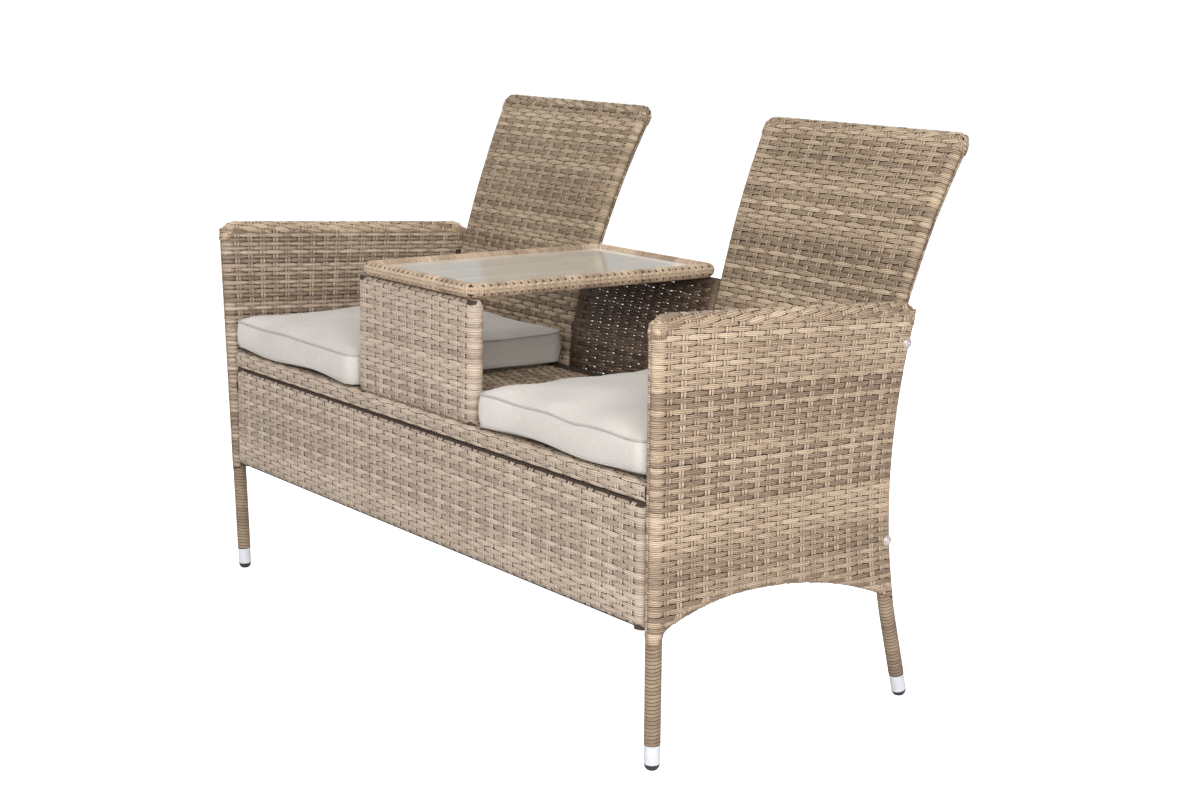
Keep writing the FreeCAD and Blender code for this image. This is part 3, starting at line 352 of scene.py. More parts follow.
def woven(place, width, low, high, columns, level, inside=None, breadth=1.0, reach=0.0, sides=(8, 6)):
    """Plain weave in a panel's own coordinates, over one and under one.

    The weft's height and width depend on the distance to the nearest warp that it passes under:
    low and narrow there, and full between them. Past both edges it runs on for a reach. Each warp
    is a pair of narrow strands, raised over every second row. inside(along, up) says where strands
    are kept.
    """
    inside = inside or (lambda along, up: np.ones(along.shape, bool))
    rows = int((high - low) / row_pitch)
    pitch = width / columns
    centres = (np.arange(columns) + 0.5) * pitch + weaver.uniform(-column_play, column_play, columns)
    bend = reach * np.linspace(1, 0, int(np.ceil(reach / edge_step)) + 1)
    groups = []
    row_shades = shades_of(rows)
    for odd in (0, 1):
        row = np.arange(odd, rows, 2)
        dives, crests = centres[odd::2], centres[1 - odd::2]
        distances = np.concatenate([-np.array(dive_distances)[::-1], dive_distances])
        rings = np.concatenate([(dives[:, None] + distances).ravel(), crests])
        rings = np.sort(rings[(rings > 1) & (rings < width - 1)])
        rings = np.concatenate([-bend, rings, width + bend[::-1]])
        away = np.min(np.abs(rings[:, None] - dives), axis=1)
        marks = (*dive_distances, crest_distance)
        shape = (len(row), len(rings))
        along = np.tile(rings, (len(row), 1))
        up = low + (row[:, None] + 0.5) * row_pitch + weaver.normal(0, row_play, (len(row), 1))
        up = up + weaver.normal(0, wave_play, shape)
        past_edge = (rings < 0) | (rings > width)
        height = np.where(past_edge, edge_height, np.interp(away, marks, dive_heights))
        out = level + weft_swing * height + weaver.normal(0, height_play, shape)
        wide = breadth * np.interp(away, marks, dive_widths) + weaver.normal(0, width_play, shape)
        groups.append(ribbons(along, up, out, wide, weft_thickness, inside(along, up),
                              row_shades[odd::2], place, sides[0]))
    steps = (np.arange(rows)[:, None] + np.array(warp_ends)).ravel()
    centre = (centres[:, None] + np.array([-0.5, 0.5]) * warp_pair_gap).ravel()
    column = np.repeat(np.arange(columns), 2)
    run = np.tile(low + steps * row_pitch, (len(centre), 1))
    side = np.repeat(centre[:, None], run.shape[1], axis=1) + weaver.normal(0, warp_play, run.shape)
    over = np.where((column[:, None] + np.floor(steps)) % 2 == 0, 1, -1)
    wide = np.full(run.shape, warp_width * breadth)
    shades = 0.5 + 0.5 * shades_of(len(centre), 0.9, 0.0)
    groups.append(ribbons(run, side, level + warp_swing * over, wide, warp_thickness,
                          inside(side, run), shades, place, sides[1], True))
    return groups


def measured(line):
    """How far along a line each of its points is: the lengths of its steps added up."""
    return np.concatenate([[0.0], np.cumsum(np.linalg.norm(np.diff(line, axis=0), axis=1))])


def tube_form(path, facing, radius, closed=False, measure=None):
    """A tube's own coordinates: along its middle line, round it from the facing side, and out.

    Returns the form, and the measure of each point of the path along the tube.
    """
    steps = np.linalg.norm(np.diff(path, axis=0), axis=1)
    if measure is None:
        measure = measured(path)
    tangent = np.gradient(path, measure, axis=0)
    if closed:
        tangent[0] = tangent[-1] = (path[1] - path[0]) / steps[0] + (path[-1] - path[-2]) / steps[-1]
    tangent /= np.linalg.norm(tangent, axis=1, keepdims=True)
    facing = np.broadcast_to(facing, path.shape)
    nearest = facing - tangent * np.sum(facing * tangent, axis=1, keepdims=True)
    nearest /= np.linalg.norm(nearest, axis=1, keepdims=True)
    sideways = np.cross(tangent, nearest)

    def place(along, up, out):
        along, up, out = np.broadcast_arrays(along, up, out)
        where = along % measure[-1] if closed else np.clip(along, measure[0], measure[-1])
        spot, ahead, beside = [np.stack([np.interp(where, measure, values[:, k]) for k in range(3)], -1)
                               for values in (path, nearest, sideways)]
        angle = (up / radius)[..., None]
        return spot + (radius + out)[..., None] * (ahead * np.cos(angle) + beside * np.sin(angle))

    return place, measure


def winding(path, facing, radius, pitch, slant=0.0, ripple=1.2, closed=False, sides=20, measure=None,
            holes=(), depth=0.0):
    """Strand wound round a tube.

    At a distance u along it and an angle t round it, the surface is at u + slant * sin t
    and stands ripple * (1 - |2f - 1|^3) out of the radius, with f the place within one turn. The
    holes are angles where the surface dips by a bell curve of a depth beside every second gap.
    """
    place, measure = tube_form(path, facing, radius, closed, measure)
    length = measure[-1] - measure[0]
    turns = 2 * max(int(round(length / pitch / 2)), 1)
    within = np.array([0.0, 0.12, 0.5, 0.88])
    u = measure[0] + ((np.arange(turns)[:, None] + within) * (length / turns)).ravel()
    part = np.tile(within, turns)
    if not closed:
        u = np.append(u, measure[-1])
        part = np.append(part, 0.0)
    angle = np.arange(sides) * (2 * np.pi / sides)
    swell = np.repeat(ripple * (1 - np.abs(2 * part[:, None] - 1) ** 3), sides, axis=1)
    ring_turn = np.arange(len(u)) // len(within)
    beside_gap = (ring_turn + (part > 0.5)) % 2 == 0
    for hole in holes:
        dip = depth * np.exp(-((angle - hole) / hole_width) ** 2)
        swell -= (2 * part[:, None] - 1) ** 2 * beside_gap[:, None] * dip
    points = place(u[:, None] + slant * np.sin(angle), angle * radius, swell)
    number = np.arange(len(u) * sides).reshape(len(u), sides)
    here = number if closed else number[:-1]
    beyond = np.roll(number, -1, axis=0) if closed else number[1:]
    turn_of = np.minimum(ring_turn, turns - 1)
    offset = weaver.uniform(0, 1, turns)[turn_of[:len(here)]]
    run = angle * radius / 1000.0 + offset[:, None]
    step = radius * angle[1] / 1000.0
    next_part = np.where(np.roll(part, -1) == 0, 1.0, np.roll(part, -1))
    v, v_next = [np.repeat(values[:len(here), None], sides, axis=1) for values in (part, next_part)]
    places = np.stack([np.stack([run, v], -1), np.stack([run + step, v], -1),
                       np.stack([run + step, v_next], -1), np.stack([run, v_next], -1)], axis=2)
    faces = [(squares(here, beyond), places.reshape(-1, 4, 2))]
    if not closed:
        caps = np.stack([number[0][::-1], number[-1]])
        faces.append((caps, np.full(caps.shape + (2,), 0.5)))
    shades = np.repeat(shades_of(turns, 0.3, 0.7)[turn_of], sides)
    return points.reshape(-1, 3), faces, shades


def rounded(points, radii, closed=False, steps=7):
    """A line through the points with each corner turned into an arc."""
    points = np.asarray(points, float)
    count = len(points)
    radii = np.broadcast_to(radii, count)
    line = []
    for place, corner in enumerate(points):
        if radii[place] == 0 or not closed and place in (0, count - 1):
            line.append(corner[None, :])
            continue
        before = corner - points[place - 1]
        after = points[(place + 1) % count] - corner
        before /= np.linalg.norm(before)
        after /= np.linalg.norm(after)
        turn = np.arccos(np.clip(before @ after, -1, 1))
        start = corner - before * radii[place] * np.tan(turn / 2)
        inward = after - before * np.cos(turn)
        inward /= np.linalg.norm(inward)
        swing = np.linspace(0, turn, steps)[:, None]
        line.append(start + radii[place] * (np.sin(swing) * before + (1 - np.cos(swing)) * inward))
    line = np.concatenate(line)
    return np.concatenate([line, line[:1]]) if closed else line


def filled(line, step=4.0):
    """The same line with points no further apart than a step."""
    line = np.asarray(line, float)
    measure = measured(line)
    even = np.linspace(0, measure[-1], int(measure[-1] / step) + 2)
    every = np.unique(np.concatenate([measure, even]).round(4))
    return np.stack([np.interp(every, measure, line[:, k]) for k in range(line.shape[1])], axis=-1)


def rear_tube_y(height):
    """Rear tube's distance back: a line to the foot, a long bow, and a line to the arm."""
    up = np.array(arm_rear) - knee
    up /= np.linalg.norm(up)
    down = np.array([rear_foot_y, 0.0]) - knee
    down /= np.linalg.norm(down)
    half = (np.pi - np.arccos(up @ down)) / 2
    bow_top = knee + up * knee_radius * np.tan(half)
    bow_foot = knee + down * knee_radius * np.tan(half)
    middle = (up + down) / np.linalg.norm(up + down)
    centre = knee + middle * knee_radius / np.cos(half)
    bow = centre[0] - np.sqrt(np.maximum(knee_radius ** 2 - (height - centre[1]) ** 2, 0))
    above = knee[0] + (height - knee[1]) * up[0] / up[1]
    below = knee[0] + (height - knee[1]) * down[0] / down[1]
    return np.where(height > bow_top[1], above, np.where(height < bow_foot[1], below, bow))


def front_tube_y(height):
    """Front leg's distance back: it leans forward a little."""
    return arm_front[0] / arm_front[1] * height


def arch_height(y):
    """Middle line of the arched lower rail: two arcs that meet at the peak."""
    radius = np.where(y < arch_peak[0], arch_radii[0], arch_radii[1])
    return arch_peak[1] - radius + np.sqrt(radius ** 2 - (y - arch_peak[0]) ** 2)


def lean(flat_out, y, z, side):
    """Turns a flat panel by the flare about Y and by the toe-in about Z, and moves it out to the feet."""
    x = flat_out * np.cos(flare) + z * np.sin(flare)
    z = z * np.cos(flare) - flat_out * np.sin(flare)
    turned_x = x * np.cos(toe_in) - y * np.sin(toe_in)
    turned_y = x * np.sin(toe_in) + y * np.cos(toe_in)
    return np.stack([side * (turned_x + foot_half_spread), turned_y, z], axis=-1)


def panel_flat(along, up):
    """A side panel's own coordinates to distance back and height: rows fall towards the rear."""
    share = along / panel_width
    z = up * (1 - (1 - arm_rear[1] / arm_front[1]) * share)
    front = front_tube_y(z)
    return front + share * (rear_tube_y(z) - front), z


def field_drop(along, width, depth):
    """How much lower a panel's field lies than its edges: it falls evenly to the depth, then stays there."""
    return depth * np.clip(np.minimum(along, width - along) / edge_rise, 0, 1)


def edge_turn(run, low, high, radius):
    """The angle round an edge tube for a run that goes past the edges of a panel."""
    return (np.maximum(run - high, 0) - np.maximum(low - run, 0)) / radius


def side_place(side, face):
    """A side panel's form: side is 1 on the right, and face is 1 outside and -1 inside.

    Strands that reach a tube go on round it, by their distance past its middle over the radius.
    """
    def place(along, up, out):
        turn = edge_turn(along, 0, panel_width, side_level)
        out = out - field_drop(along, panel_width, side_drop)
        y, z = panel_flat(np.clip(along, 0, panel_width), up)
        from_edge = panel_width / 2 - abs(along - panel_width / 2)
        below = np.maximum(arch_height(y) - z, 0) * np.clip(from_edge / arch_blend, 0, 1)
        under = below / side_level
        z = z + below - out * np.sin(under)
        return lean(out * np.cos(turn) * np.cos(under) * face, y + out * np.sin(turn), z, side)
    return place


def in_side_panel(along, up):
    """Kept down to the underside of the arched rail."""
    y, z = panel_flat(np.clip(along, 0, panel_width), up)
    return z > arch_height(y) - arch_overhang


def braided(path, facing, radius, middle):
    """Flat strands plaited over a tube: a weave whose rows run round it at a slope.

    Kept where the angle round the tube is within a reach of the middle one.
    """
    tube_place, measure = tube_form(path, facing, radius)
    slope = -braid_slope * np.sign(middle)

    def place(along, up, out):
        return tube_place(along, up - slope * along, out)

    def inside(along, up):
        away = ((up - slope * along) / radius - middle + np.pi) % (2 * np.pi) - np.pi
        return abs(away) < braid_reach

    top = (int(2 * np.pi * radius / braid_row) + 0.5) * row_pitch
    columns = int(round(measure[-1] / braid_pitch))
    return woven(place, measure[-1], 0.0, top, columns, braid_level, inside)


def leaned_line(ys, zs, side):
    """A line drawn as distances back and heights, on the middle surface of a side panel."""
    return lean(np.zeros(len(zs)), ys, zs, side)


strand = strand_finish("woven_strand", (0.180, 0.122, 0.084), (0.500, 0.368, 0.252), (0.740, 0.590, 0.430))
# The inner faces of the arms get a darker copy of the strand colours, as painted shade.
inner_shaded_strand = strand_finish("inner_arm_painted_shade_strand", (0.160, 0.112, 0.080), (0.430, 0.325, 0.235),
                             (0.650, 0.530, 0.405))
arm_points = [(float(front_tube_y(arm_ends[0])), arm_ends[0]), arm_front, arm_rear,
              (float(rear_tube_y(arm_ends[1])), arm_ends[1])]
arm_line = filled(rounded(arm_points, arm_corner_radius))
arch_ys = np.linspace(*arch_ends, 120)
for side, word in ((1, "right"), (-1, "left")):
    outward = np.array([side * np.cos(toe_in), np.sin(toe_in), 0.0])
    edges = braided(leaned_line(*arm_line.T, side), outward, arm_cover_radius, -side * np.pi / 2)
    arch = leaned_line(arch_ys, arch_height(arch_ys), side)
    edges.append(winding(arch, outward, arch_cover_radius, arch_pitch))
    for corner in (arm_line[:corner_points], arm_line[-corner_points:]):
        edges.append(winding(leaned_line(*corner.T, side), outward, arm_cover_radius + corner_rise,
                             corner_pitch, ripple=0.6))
    add_piece(word + "_arm_edges", edges, strand)
    for face, face_word, finish, sides in ((1, "outer", strand, (8, 6)), (-1, "inner", inner_shaded_strand, (6, 6))):
        groups = woven(side_place(side, face), panel_width, lowest_row, highest_row, panel_columns,
                       side_level, in_side_panel, side_breadth, side_reach, sides)
        add_piece(word + "_arm_" + face_word + "_weave", groups, finish)

# Legs and feet
# Below the woven panels the legs are wound closely with one strand, browner than the rest. White
# plastic sleeves cover their ends, and round dark glides are plugged into the tubes.

leg_cover_radius = 11.3
leg_pitch = 5.6
leg_slant = 1.5
leg_ripple = 0.8
sleeve_top_height = 38.2
legs = (("front", front_tube_y, 204.0), ("rear", rear_tube_y, 190.0))

leg_strand = strand_finish("leg_strand", (0.200, 0.132, 0.088), (0.380, 0.270, 0.184), (0.58, 0.44, 0.31))
for side, word in ((1, "right"), (-1, "left")):
    outward = np.array([side * np.cos(toe_in), np.sin(toe_in), 0.0])
    for place_word, tube_y, top in legs:
        heights = np.linspace(sleeve_top_height, top, 60)
        turns = winding(leaned_line(tube_y(heights), heights, side), outward, leg_cover_radius, leg_pitch,
                        leg_slant, leg_ripple, sides=18)
        add_piece(word + "_" + place_word + "_leg_winding", [turns], leg_strand)

sleeve = Finish("white_sleeve")
sleeve.surface(Base_Color=sleeve.ramp(sleeve.noise(90.0), (0.3, (0.62, 0.63, 0.67)),
                                      (0.7, (0.69, 0.70, 0.74))),
               Roughness=0.35 + 0.1 * sleeve.noise(300.0), Specular_IOR_Level=0.5)
sleeve.bump(sleeve.noise(700.0), 0.0001, 0.4)
black_plastic = Finish("black_plastic")
grain = black_plastic.noise(1400.0, 3.0)
black_plastic.surface(Base_Color=black_plastic.ramp(grain, (0.3, (0.018, 0.018, 0.020)),
                                                    (0.8, (0.05, 0.05, 0.055))),
                      Roughness=0.42 + 0.2 * grain)
black_plastic.bump(grain, 0.00012, 0.6)

# Backs
# Each back is a closed bent tube, upright behind the seat and bowed back above it, with a weave on
# both faces. The wefts run level and turn round the side tubes. Strands are plaited over the top tube
# and wound round the bottom one.

back_corners = [(441.0, 213.1), (441.0, 478.0), (530.19, 741.8), (588.92, 860.1)]
back_bend_radii = (0, 520.0, 1400.0, 0)
back_inner_xs = (195.0, 195.0, 177.0, 168.9)
back_outer_xs = (570.0, 570.0, 582.4, 592.6)
back_corner_radius = 5.0
back_cover_radius = 9.9
back_level = 10.6
back_drop = 1.3
back_reach = 15.8
back_width = 400.0
back_columns = 16
back_breadth = 0.94
crosspiece_turn = 20.0

back_levels = [corner[1] for corner in back_corners]
back_profile = filled(rounded(back_corners, back_bend_radii, steps=24))
back_measure = measured(back_profile)


def profile_form(line):
    """Lays lengths up a side profile and heights out of it to distances back and heights.

    A point is the profile's point at that length plus the height times its normal. The third result
    is the profile's own height there.
    """
    measure = measured(line)
    slope = np.gradient(line, measure, axis=0)
    slope /= np.linalg.norm(slope, axis=1, keepdims=True)

    def place(up, out):
        y, z, run_y, run_z = [np.interp(up, measure, values) for values in (*line.T, *slope.T)]
        return y - out * run_z, z + out * run_y, z

    return place


on_back = profile_form(back_profile)


def back_place(side, face):
    """A back's form: face is 1 in front and -1 behind.

    Its x is the share along times the way from the inner to the outer tube at that height, and past
    a tube's middle the strands turn round it.
    """
    def place(along, up, out):
        turn = edge_turn(along, 0, back_width, back_level)
        out = out - field_drop(along, back_width, back_drop)
        y, z, level = on_back(up, out * np.cos(turn) * face)
        inner = np.interp(level, back_levels, back_inner_xs)
        outer = np.interp(level, back_levels, back_outer_xs)
        x = inner + np.clip(along / back_width, 0, 1) * (outer - inner) + out * np.sin(turn)
        return np.stack([side * x, y, z], axis=-1)
    return place


def crosspiece(side, end, towards):
    """Middle line of a back's top or bottom tube, with its corners and a little of the side tubes."""
    y, z = back_corners[end]
    step = np.array(back_corners[towards]) - back_corners[end]
    step *= crosspiece_turn / np.linalg.norm(step)
    inner = side * back_inner_xs[end]
    outer = side * back_outer_xs[end]
    line = [(inner, y + step[0], z + step[1]), (inner, y, z), (outer, y, z),
            (outer, y + step[0], z + step[1])]
    return filled(rounded(line, back_corner_radius))


back_strand = strand_finish("back_strand", (0.140, 0.096, 0.064), (0.400, 0.296, 0.198),
                            (0.620, 0.492, 0.352))
for side, word in ((1, "right"), (-1, "left")):
    edges = braided(crosspiece(side, 3, 2), (0, -1, 0), back_cover_radius, -side * np.pi / 2)
    edges.append(winding(crosspiece(side, 0, 1), (0, -1, 0), back_cover_radius, row_pitch))
    add_piece(word + "_back_edges", edges, back_strand)
    for face, face_word, sides in ((1, "front", (8, 6)), (-1, "rear", (6, 4))):
        groups = woven(back_place(side, face), back_width, 0.0, back_measure[-1], back_columns,
                       back_level, breadth=back_breadth, reach=back_reach, sides=sides)
        add_piece(word + "_back_" + face_word + "_weave", groups, back_strand)

# Panel between the backs, under the table
# It has one loose layer of strands, so that light shows through its holes. Its own tubes are wound
# level with single strands.

middle_heights = (213.1, 478.0, 597.6)
middle_half_widths = (173.6, 173.6, 165.44)
middle_rails = ((173.6, 212.3), (165.44, 597.6))
middle_top = 605.5
middle_columns = 14
middle_width = 340.0
middle_level = 8.4
middle_tube_radii = (10.0, 9.2)
middle_breadth = 1.1
middle_ripple = 0.6


def middle_place(along, up, out):
    """The middle panel's form, on the backs' profile, as wide as the way between its own uprights."""
    y, z, level = on_back(up, out)
    half = np.interp(level, middle_heights, middle_half_widths)
    return np.stack([(2 * along / middle_width - 1) * half, y, z], axis=-1)


# Near-black strand colours as painted shade: for the middle panel in the shadow under the table, and for the
# hidden rear layers of the flat panels.
painted_shade_strand = strand_finish("shaded_strand", (0.050, 0.029, 0.018), (0.105, 0.066, 0.041),
                            (0.230, 0.160, 0.108))
middle_length = float(np.interp(middle_heights[2], back_profile[:, 1], back_measure))
groups = woven(middle_place, middle_width, 0.0, middle_length, middle_columns, middle_level,
               breadth=middle_breadth, sides=(6, 6))
uprights_run = back_profile[:, 1] < middle_top
for sign in (1, -1):
    ys, zs = back_profile[uprights_run].T
    path = np.stack([sign * np.interp(zs, middle_heights, middle_half_widths), ys, zs], axis=-1)
    groups.append(winding(path, (0, -1, 0), middle_tube_radii[0], row_pitch, 0.0, middle_ripple,
                          measure=back_measure[uprights_run]))
for half, z in middle_rails:
    y = np.interp(z, back_profile[:, 1], back_profile[:, 0])
    groups.append(winding(filled([(-half, y, z), (half, y, z)]), (0, -1, 0), middle_tube_radii[1],
                          row_pitch, 1.0, middle_ripple))
add_piece("middle_back_open_weave", groups, painted_shade_strand, replaced=("middle_back_weave",))

# Seat
# The seat's weave goes round the underside, front and top of its front rail, and from there over
# the deck to the rear rail.

deck_height = 408.3
rail_section = [(6.0, 387.2), (-14.6, 387.2), (-14.6, 411.8), (9.4, 411.8)]
rail_section_radius = 5.0
rail_half = 600.0
rail_columns = 48
deck_level = 0.9
deck_front_y = 9.4
deck_rear_y = 406.0
deck_taper = 0.03
deck_spans = (("left", -590.0, -180.0, 16), ("middle", -180.0, 180.0, 14), ("right", 180.0, 590.0, 16))

rail_line = filled(rounded(rail_section, rail_section_radius), 2.0)
on_rail = profile_form(rail_line)


def rail_place(along, up, out):
    """The front rail's form: up follows its section from the underside over the front to the top."""
    return np.stack(np.broadcast_arrays(along - rail_half, *on_rail(up, out)[:2]), axis=-1)


def deck_place(start):
    """The deck's form, level, with its ends drawn in towards the rear as the side panels are."""
    def place(along, up, out):
        drawn_in = 1 - deck_taper * up / (deck_rear_y - deck_front_y)
        return np.stack(np.broadcast_arrays((along + start) * drawn_in, up + deck_front_y, out + deck_height),
                        axis=-1)
    return place


front_strand = strand_finish("front_strand", (0.265, 0.196, 0.150), (0.515, 0.405, 0.312),
                             (0.700, 0.580, 0.465))
groups = woven(rail_place, 2 * rail_half, 0.0, measured(rail_line)[-1], rail_columns, deck_level)
add_piece("front_rail_weave", groups, front_strand)
for word, start, end, columns in deck_spans:
    groups = woven(deck_place(start), end - start, 0.0, deck_rear_y - deck_front_y, columns, deck_level,
                   sides=(6, 4))
    add_piece(word + "_deck_weave", groups, strand)

# Apron and table front
# Two flat panels in the front of the bench: the long apron under the seat and the short panel that
# carries the table's front. Their front strands turn round the tubes at all four edges, and a second
# layer covers them behind.

flat_level = 12.1
flat_rear_level = 6.8
flat_reach = 33.0
flat_rail_inset = 11.1
flat_rear_inset = 5.0
flat_drop = 0.8
flat_panels = (("apron", 587.5, -4.7, 202.2, 385.2, 48, 3.5),
               ("table_front", 158.5, 0.4, 412.1, 606.9, 13, 1.0))


def flat_place(half, middle_y, low, high, face, rail_drop):
    """A flat panel's form: along runs to the right, up is height, and face is 1 in front.

    Over its upper and lower rails the strands lie closer to the tube, by the rail drop.
    """
    def place(along, up, out):
        sideways = edge_turn(along, 0, 2 * half, flat_level)
        upwards = edge_turn(up, low, high, flat_level)
        out = out - face * field_drop(along, 2 * half, flat_drop)
        x = np.clip(along, 0, 2 * half) - half + out * np.sin(sideways)
        y = middle_y - out * face * np.cos(sideways) * np.cos(upwards)
        z = np.clip(up, low, high) + (out - rail_drop * np.cos(sideways) ** 4) * np.sin(upwards)
        return np.stack(np.broadcast_arrays(x, y, z), axis=-1)
    return place


for word, half, middle_y, bottom, top, columns, rail_drop in flat_panels:
    low = bottom + flat_rail_inset
    high = top - flat_rail_inset
    groups = woven(flat_place(half, middle_y, low, high, 1, rail_drop), 2 * half, low - flat_reach,
                   high + flat_reach, columns, flat_level, reach=flat_reach)
    add_piece(word + "_front_weave", groups, front_strand)
    # The rear layer is coloured near black, as painted shade behind the front strands.
    groups = woven(flat_place(half, middle_y, low, high, -1, rail_drop), 2 * half, low + flat_rear_inset,
                   high - flat_rear_inset, columns, -flat_rear_level, sides=(6, 4))
    add_piece(word + "_rear_weave", groups, painted_shade_strand)

# Table top
# A steel rim wound with slanting strands holds a plate of greyish glass on clear bumpers. Two strands
# run lengthwise round the rim, over one turn and under the next.

ring_corners = [(-153.7, -1.4, 619.8), (153.7, -1.4, 619.8), (153.7, 474.5, 619.8), (-153.7, 474.5, 619.8)]
ring_corner_radius = 11.6
ring_cover_radius = 10.6
ring_pitch = 7.0
ring_ripple = 1.5
ring_slant = 1.5
ring_holes = (0.75, 2.0)
ring_hole_depth = 2.2
ring_strand_angle = 1.45
ring_strand_width = 4.2
ring_strand_gap = 5.0
ring_strand_level = 1.4
ring_strand_swing = 0.8
ring_strand_shades = (0.8, 0.7)

ring_line = filled(rounded(ring_corners, ring_corner_radius, True))
ring_turns = winding(ring_line, (0, 0, 1), ring_cover_radius, ring_pitch, ring_slant, ring_ripple,
                     closed=True, sides=24, holes=ring_holes, depth=ring_hole_depth)
ring_place, ring_measure = tube_form(ring_line, (0, 0, 1), ring_cover_radius, True)
turn_count = 2 * int(round(ring_measure[-1] / ring_pitch / 2))
run = (np.arange(turn_count)[:, None] + np.array([0.2, 0.8])).ravel() * ring_measure[-1] / turn_count
run = np.tile(run, (2, 1))
across = ring_strand_angle * ring_cover_radius + ring_strand_gap * np.array([[-0.5], [0.5]]) + 0 * run
over = np.where(np.arange(run.shape[1]) // 2 % 2 == 0, 1, -1)
out = ring_strand_level + ring_strand_swing * over + 0 * run
lengthwise = ribbons(run, across, out, np.full(run.shape, ring_strand_width), warp_thickness,
                     np.ones(run.shape, bool), np.array(ring_strand_shades), ring_place)
add_piece("table_rim_winding", [ring_turns, lengthwise], strand)

glass = Finish("table_glass")
haze = glass.noise(3.0, 3.0, (9.0, 1.0, 1.0))
depth = glass.node("ShaderNodeSeparateXYZ", {}, {0: glass.place()}, "Y")
# A bright band along the rear edge of the glass is painted into its colour, as a reflection.
painted_reflection_strip = ((depth - 0.157) * 300.0).clamped()
glass.surface(Base_Color=glass.ramp(haze * 0.5 + painted_reflection_strip, (0.1, (0.66, 0.61, 0.52)),
                                    (0.4, (0.80, 0.755, 0.66)), (0.9, (0.93, 0.93, 0.91))),
              Roughness=0.09 + 0.05 * haze, Alpha=0.9, Specular_IOR_Level=0.6, Coat_Weight=0.3)
glass.bump(glass.noise(2.0, 1.0), 0.0006, 0.2)
rubber = Finish("clear_rubber")
rubber.surface(Base_Color=rubber.ramp(rubber.noise(300.0), (0.0, (0.62, 0.62, 0.58)),
                                      (1.0, (0.74, 0.74, 0.70))),
               Roughness=0.35, Alpha=0.7)

# Cushions
# Two loose seat cushions of boxed foam in warm grey linen, with a thin piping sewn into both seams.
# They are soft: their tops have shallow dents, and their lower front edges curl up a little.

cushion_inner_xs = (183.0, 181.0)
cushion_outer_xs = (604.0, 588.0)
cushion_front_y = -21.0
cushion_rear_y = 427.0
cushion_seams = (420.0, 470.7)
cushion_corner_radius = 26.0
cushion_rest_height = 0.4107
dent_steepness = 0.0044
dent_lengths = (0.07, 0.25)
dents_from = 0.42
front_curl = 0.009
front_curl_y = -0.255
front_curl_top = 0.452
front_curl_start = 0.183
front_curl_length = 0.28
piping_radius = 1.6
piping_pitch = 6.0
piping_hold = 0.7
voxel_size = 0.006
most_swelling = 0.006

linen = Finish("cushion_linen")
threads = (linen.noise(1.0, 2.0, (90.0, 1500.0, 1500.0)) + linen.noise(1.0, 2.0, (1500.0, 90.0, 1500.0))
           + linen.noise(1.0, 2.0, (1500.0, 1500.0, 90.0))) * (1 / 3)
tone = (threads * 0.8 + linen.noise(9.0) * 0.2).clamped()
linen.surface(Base_Color=linen.ramp(tone, (0.3, (0.41, 0.375, 0.34)), (0.5, (0.56, 0.525, 0.485)),
                                    (0.7, (0.69, 0.655, 0.61))),
              Roughness=0.9, Specular_IOR_Level=0.2, Sheen_Weight=0.15)
linen.bump(threads, 0.0006, 0.5)
# The piping is coloured darker than the cover, as painted shade in the seams.
piping = Finish("seam_shade_piping_linen")
twill = piping.noise(900.0, 2.0)
piping.surface(Base_Color=piping.ramp(twill, (0.3, (0.36, 0.33, 0.30)), (0.7, (0.50, 0.465, 0.43))),
               Roughness=0.9)
piping.bump(twill, 0.0003, 0.5)


def seam_outline(side, height):
    """A cushion's outline at a seam, as a closed line with rounded corners."""
    inner = [side * x for x in cushion_inner_xs]
    outer = [side * x for x in cushion_outer_xs]
    corners = [(inner[0], cushion_front_y, height), (outer[0], cushion_front_y, height),
               (outer[1], cushion_rear_y, height), (inner[1], cushion_rear_y, height)]
    return filled(rounded(corners, cushion_corner_radius, True), 8.0)


def points_of(mesh):
    """A mesh's points, one row each."""
    points = np.empty(len(mesh.vertices) * 3, np.float32)
    mesh.vertices.foreach_get("co", points)
    return points.reshape(-1, 3)


def swell(piece):
    """Puffs a cushion with cloth pressure, and caps how far each point may move."""
    start = points_of(piece.data)
    cloth = piece.modifiers.new("cloth", "CLOTH")
    cloth.settings.use_pressure = True
    cloth.settings.uniform_pressure_force = 4.0
    cloth.settings.effector_weights.gravity = 0.0
    for number in range(1, 21):
        bpy.context.scene.frame_set(number)
    move = points_of(piece.evaluated_get(bpy.context.evaluated_depsgraph_get()).data) - start
    piece.modifiers.remove(cloth)
    bpy.context.scene.frame_set(1)
    far = np.linalg.norm(move, axis=1, keepdims=True)
    points = start + move * np.minimum(1.0, most_swelling / np.maximum(far, 1e-9))
    piece.data.vertices.foreach_set("co", points.ravel())


def uneven(points, seed):
    """How far a soft cushion's surface is raised, in metres.

    Its top has dents, a sum of sine waves 70 to 250 mm long, and its lower front edge curls up
    between its ends, once and a half along its length.
    """
    waves = np.random.default_rng(seed)
    total = np.zeros(len(points))
    for _ in range(9):
        heading = waves.uniform(0, np.pi)
        length = waves.uniform(*dent_lengths)
        across = points[:, 0] * np.cos(heading) + points[:, 1] * np.sin(heading)
        total += dent_steepness * length * np.sin(2 * np.pi * across / length + waves.uniform(0, 6.3))
    top = np.clip((points[:, 2] - dents_from) / 0.05, 0, 1)
    front = np.clip((front_curl_y - points[:, 1]) / 0.05, 0, 1)
    low = np.clip((front_curl_top - points[:, 2]) / 0.04, 0, 1)
    along = (abs(points[:, 0]) - front_curl_start) / front_curl_length
    curl = 0.5 - 0.5 * np.cos(2 * np.pi * along)
    return top * total + front_curl * front * low * curl


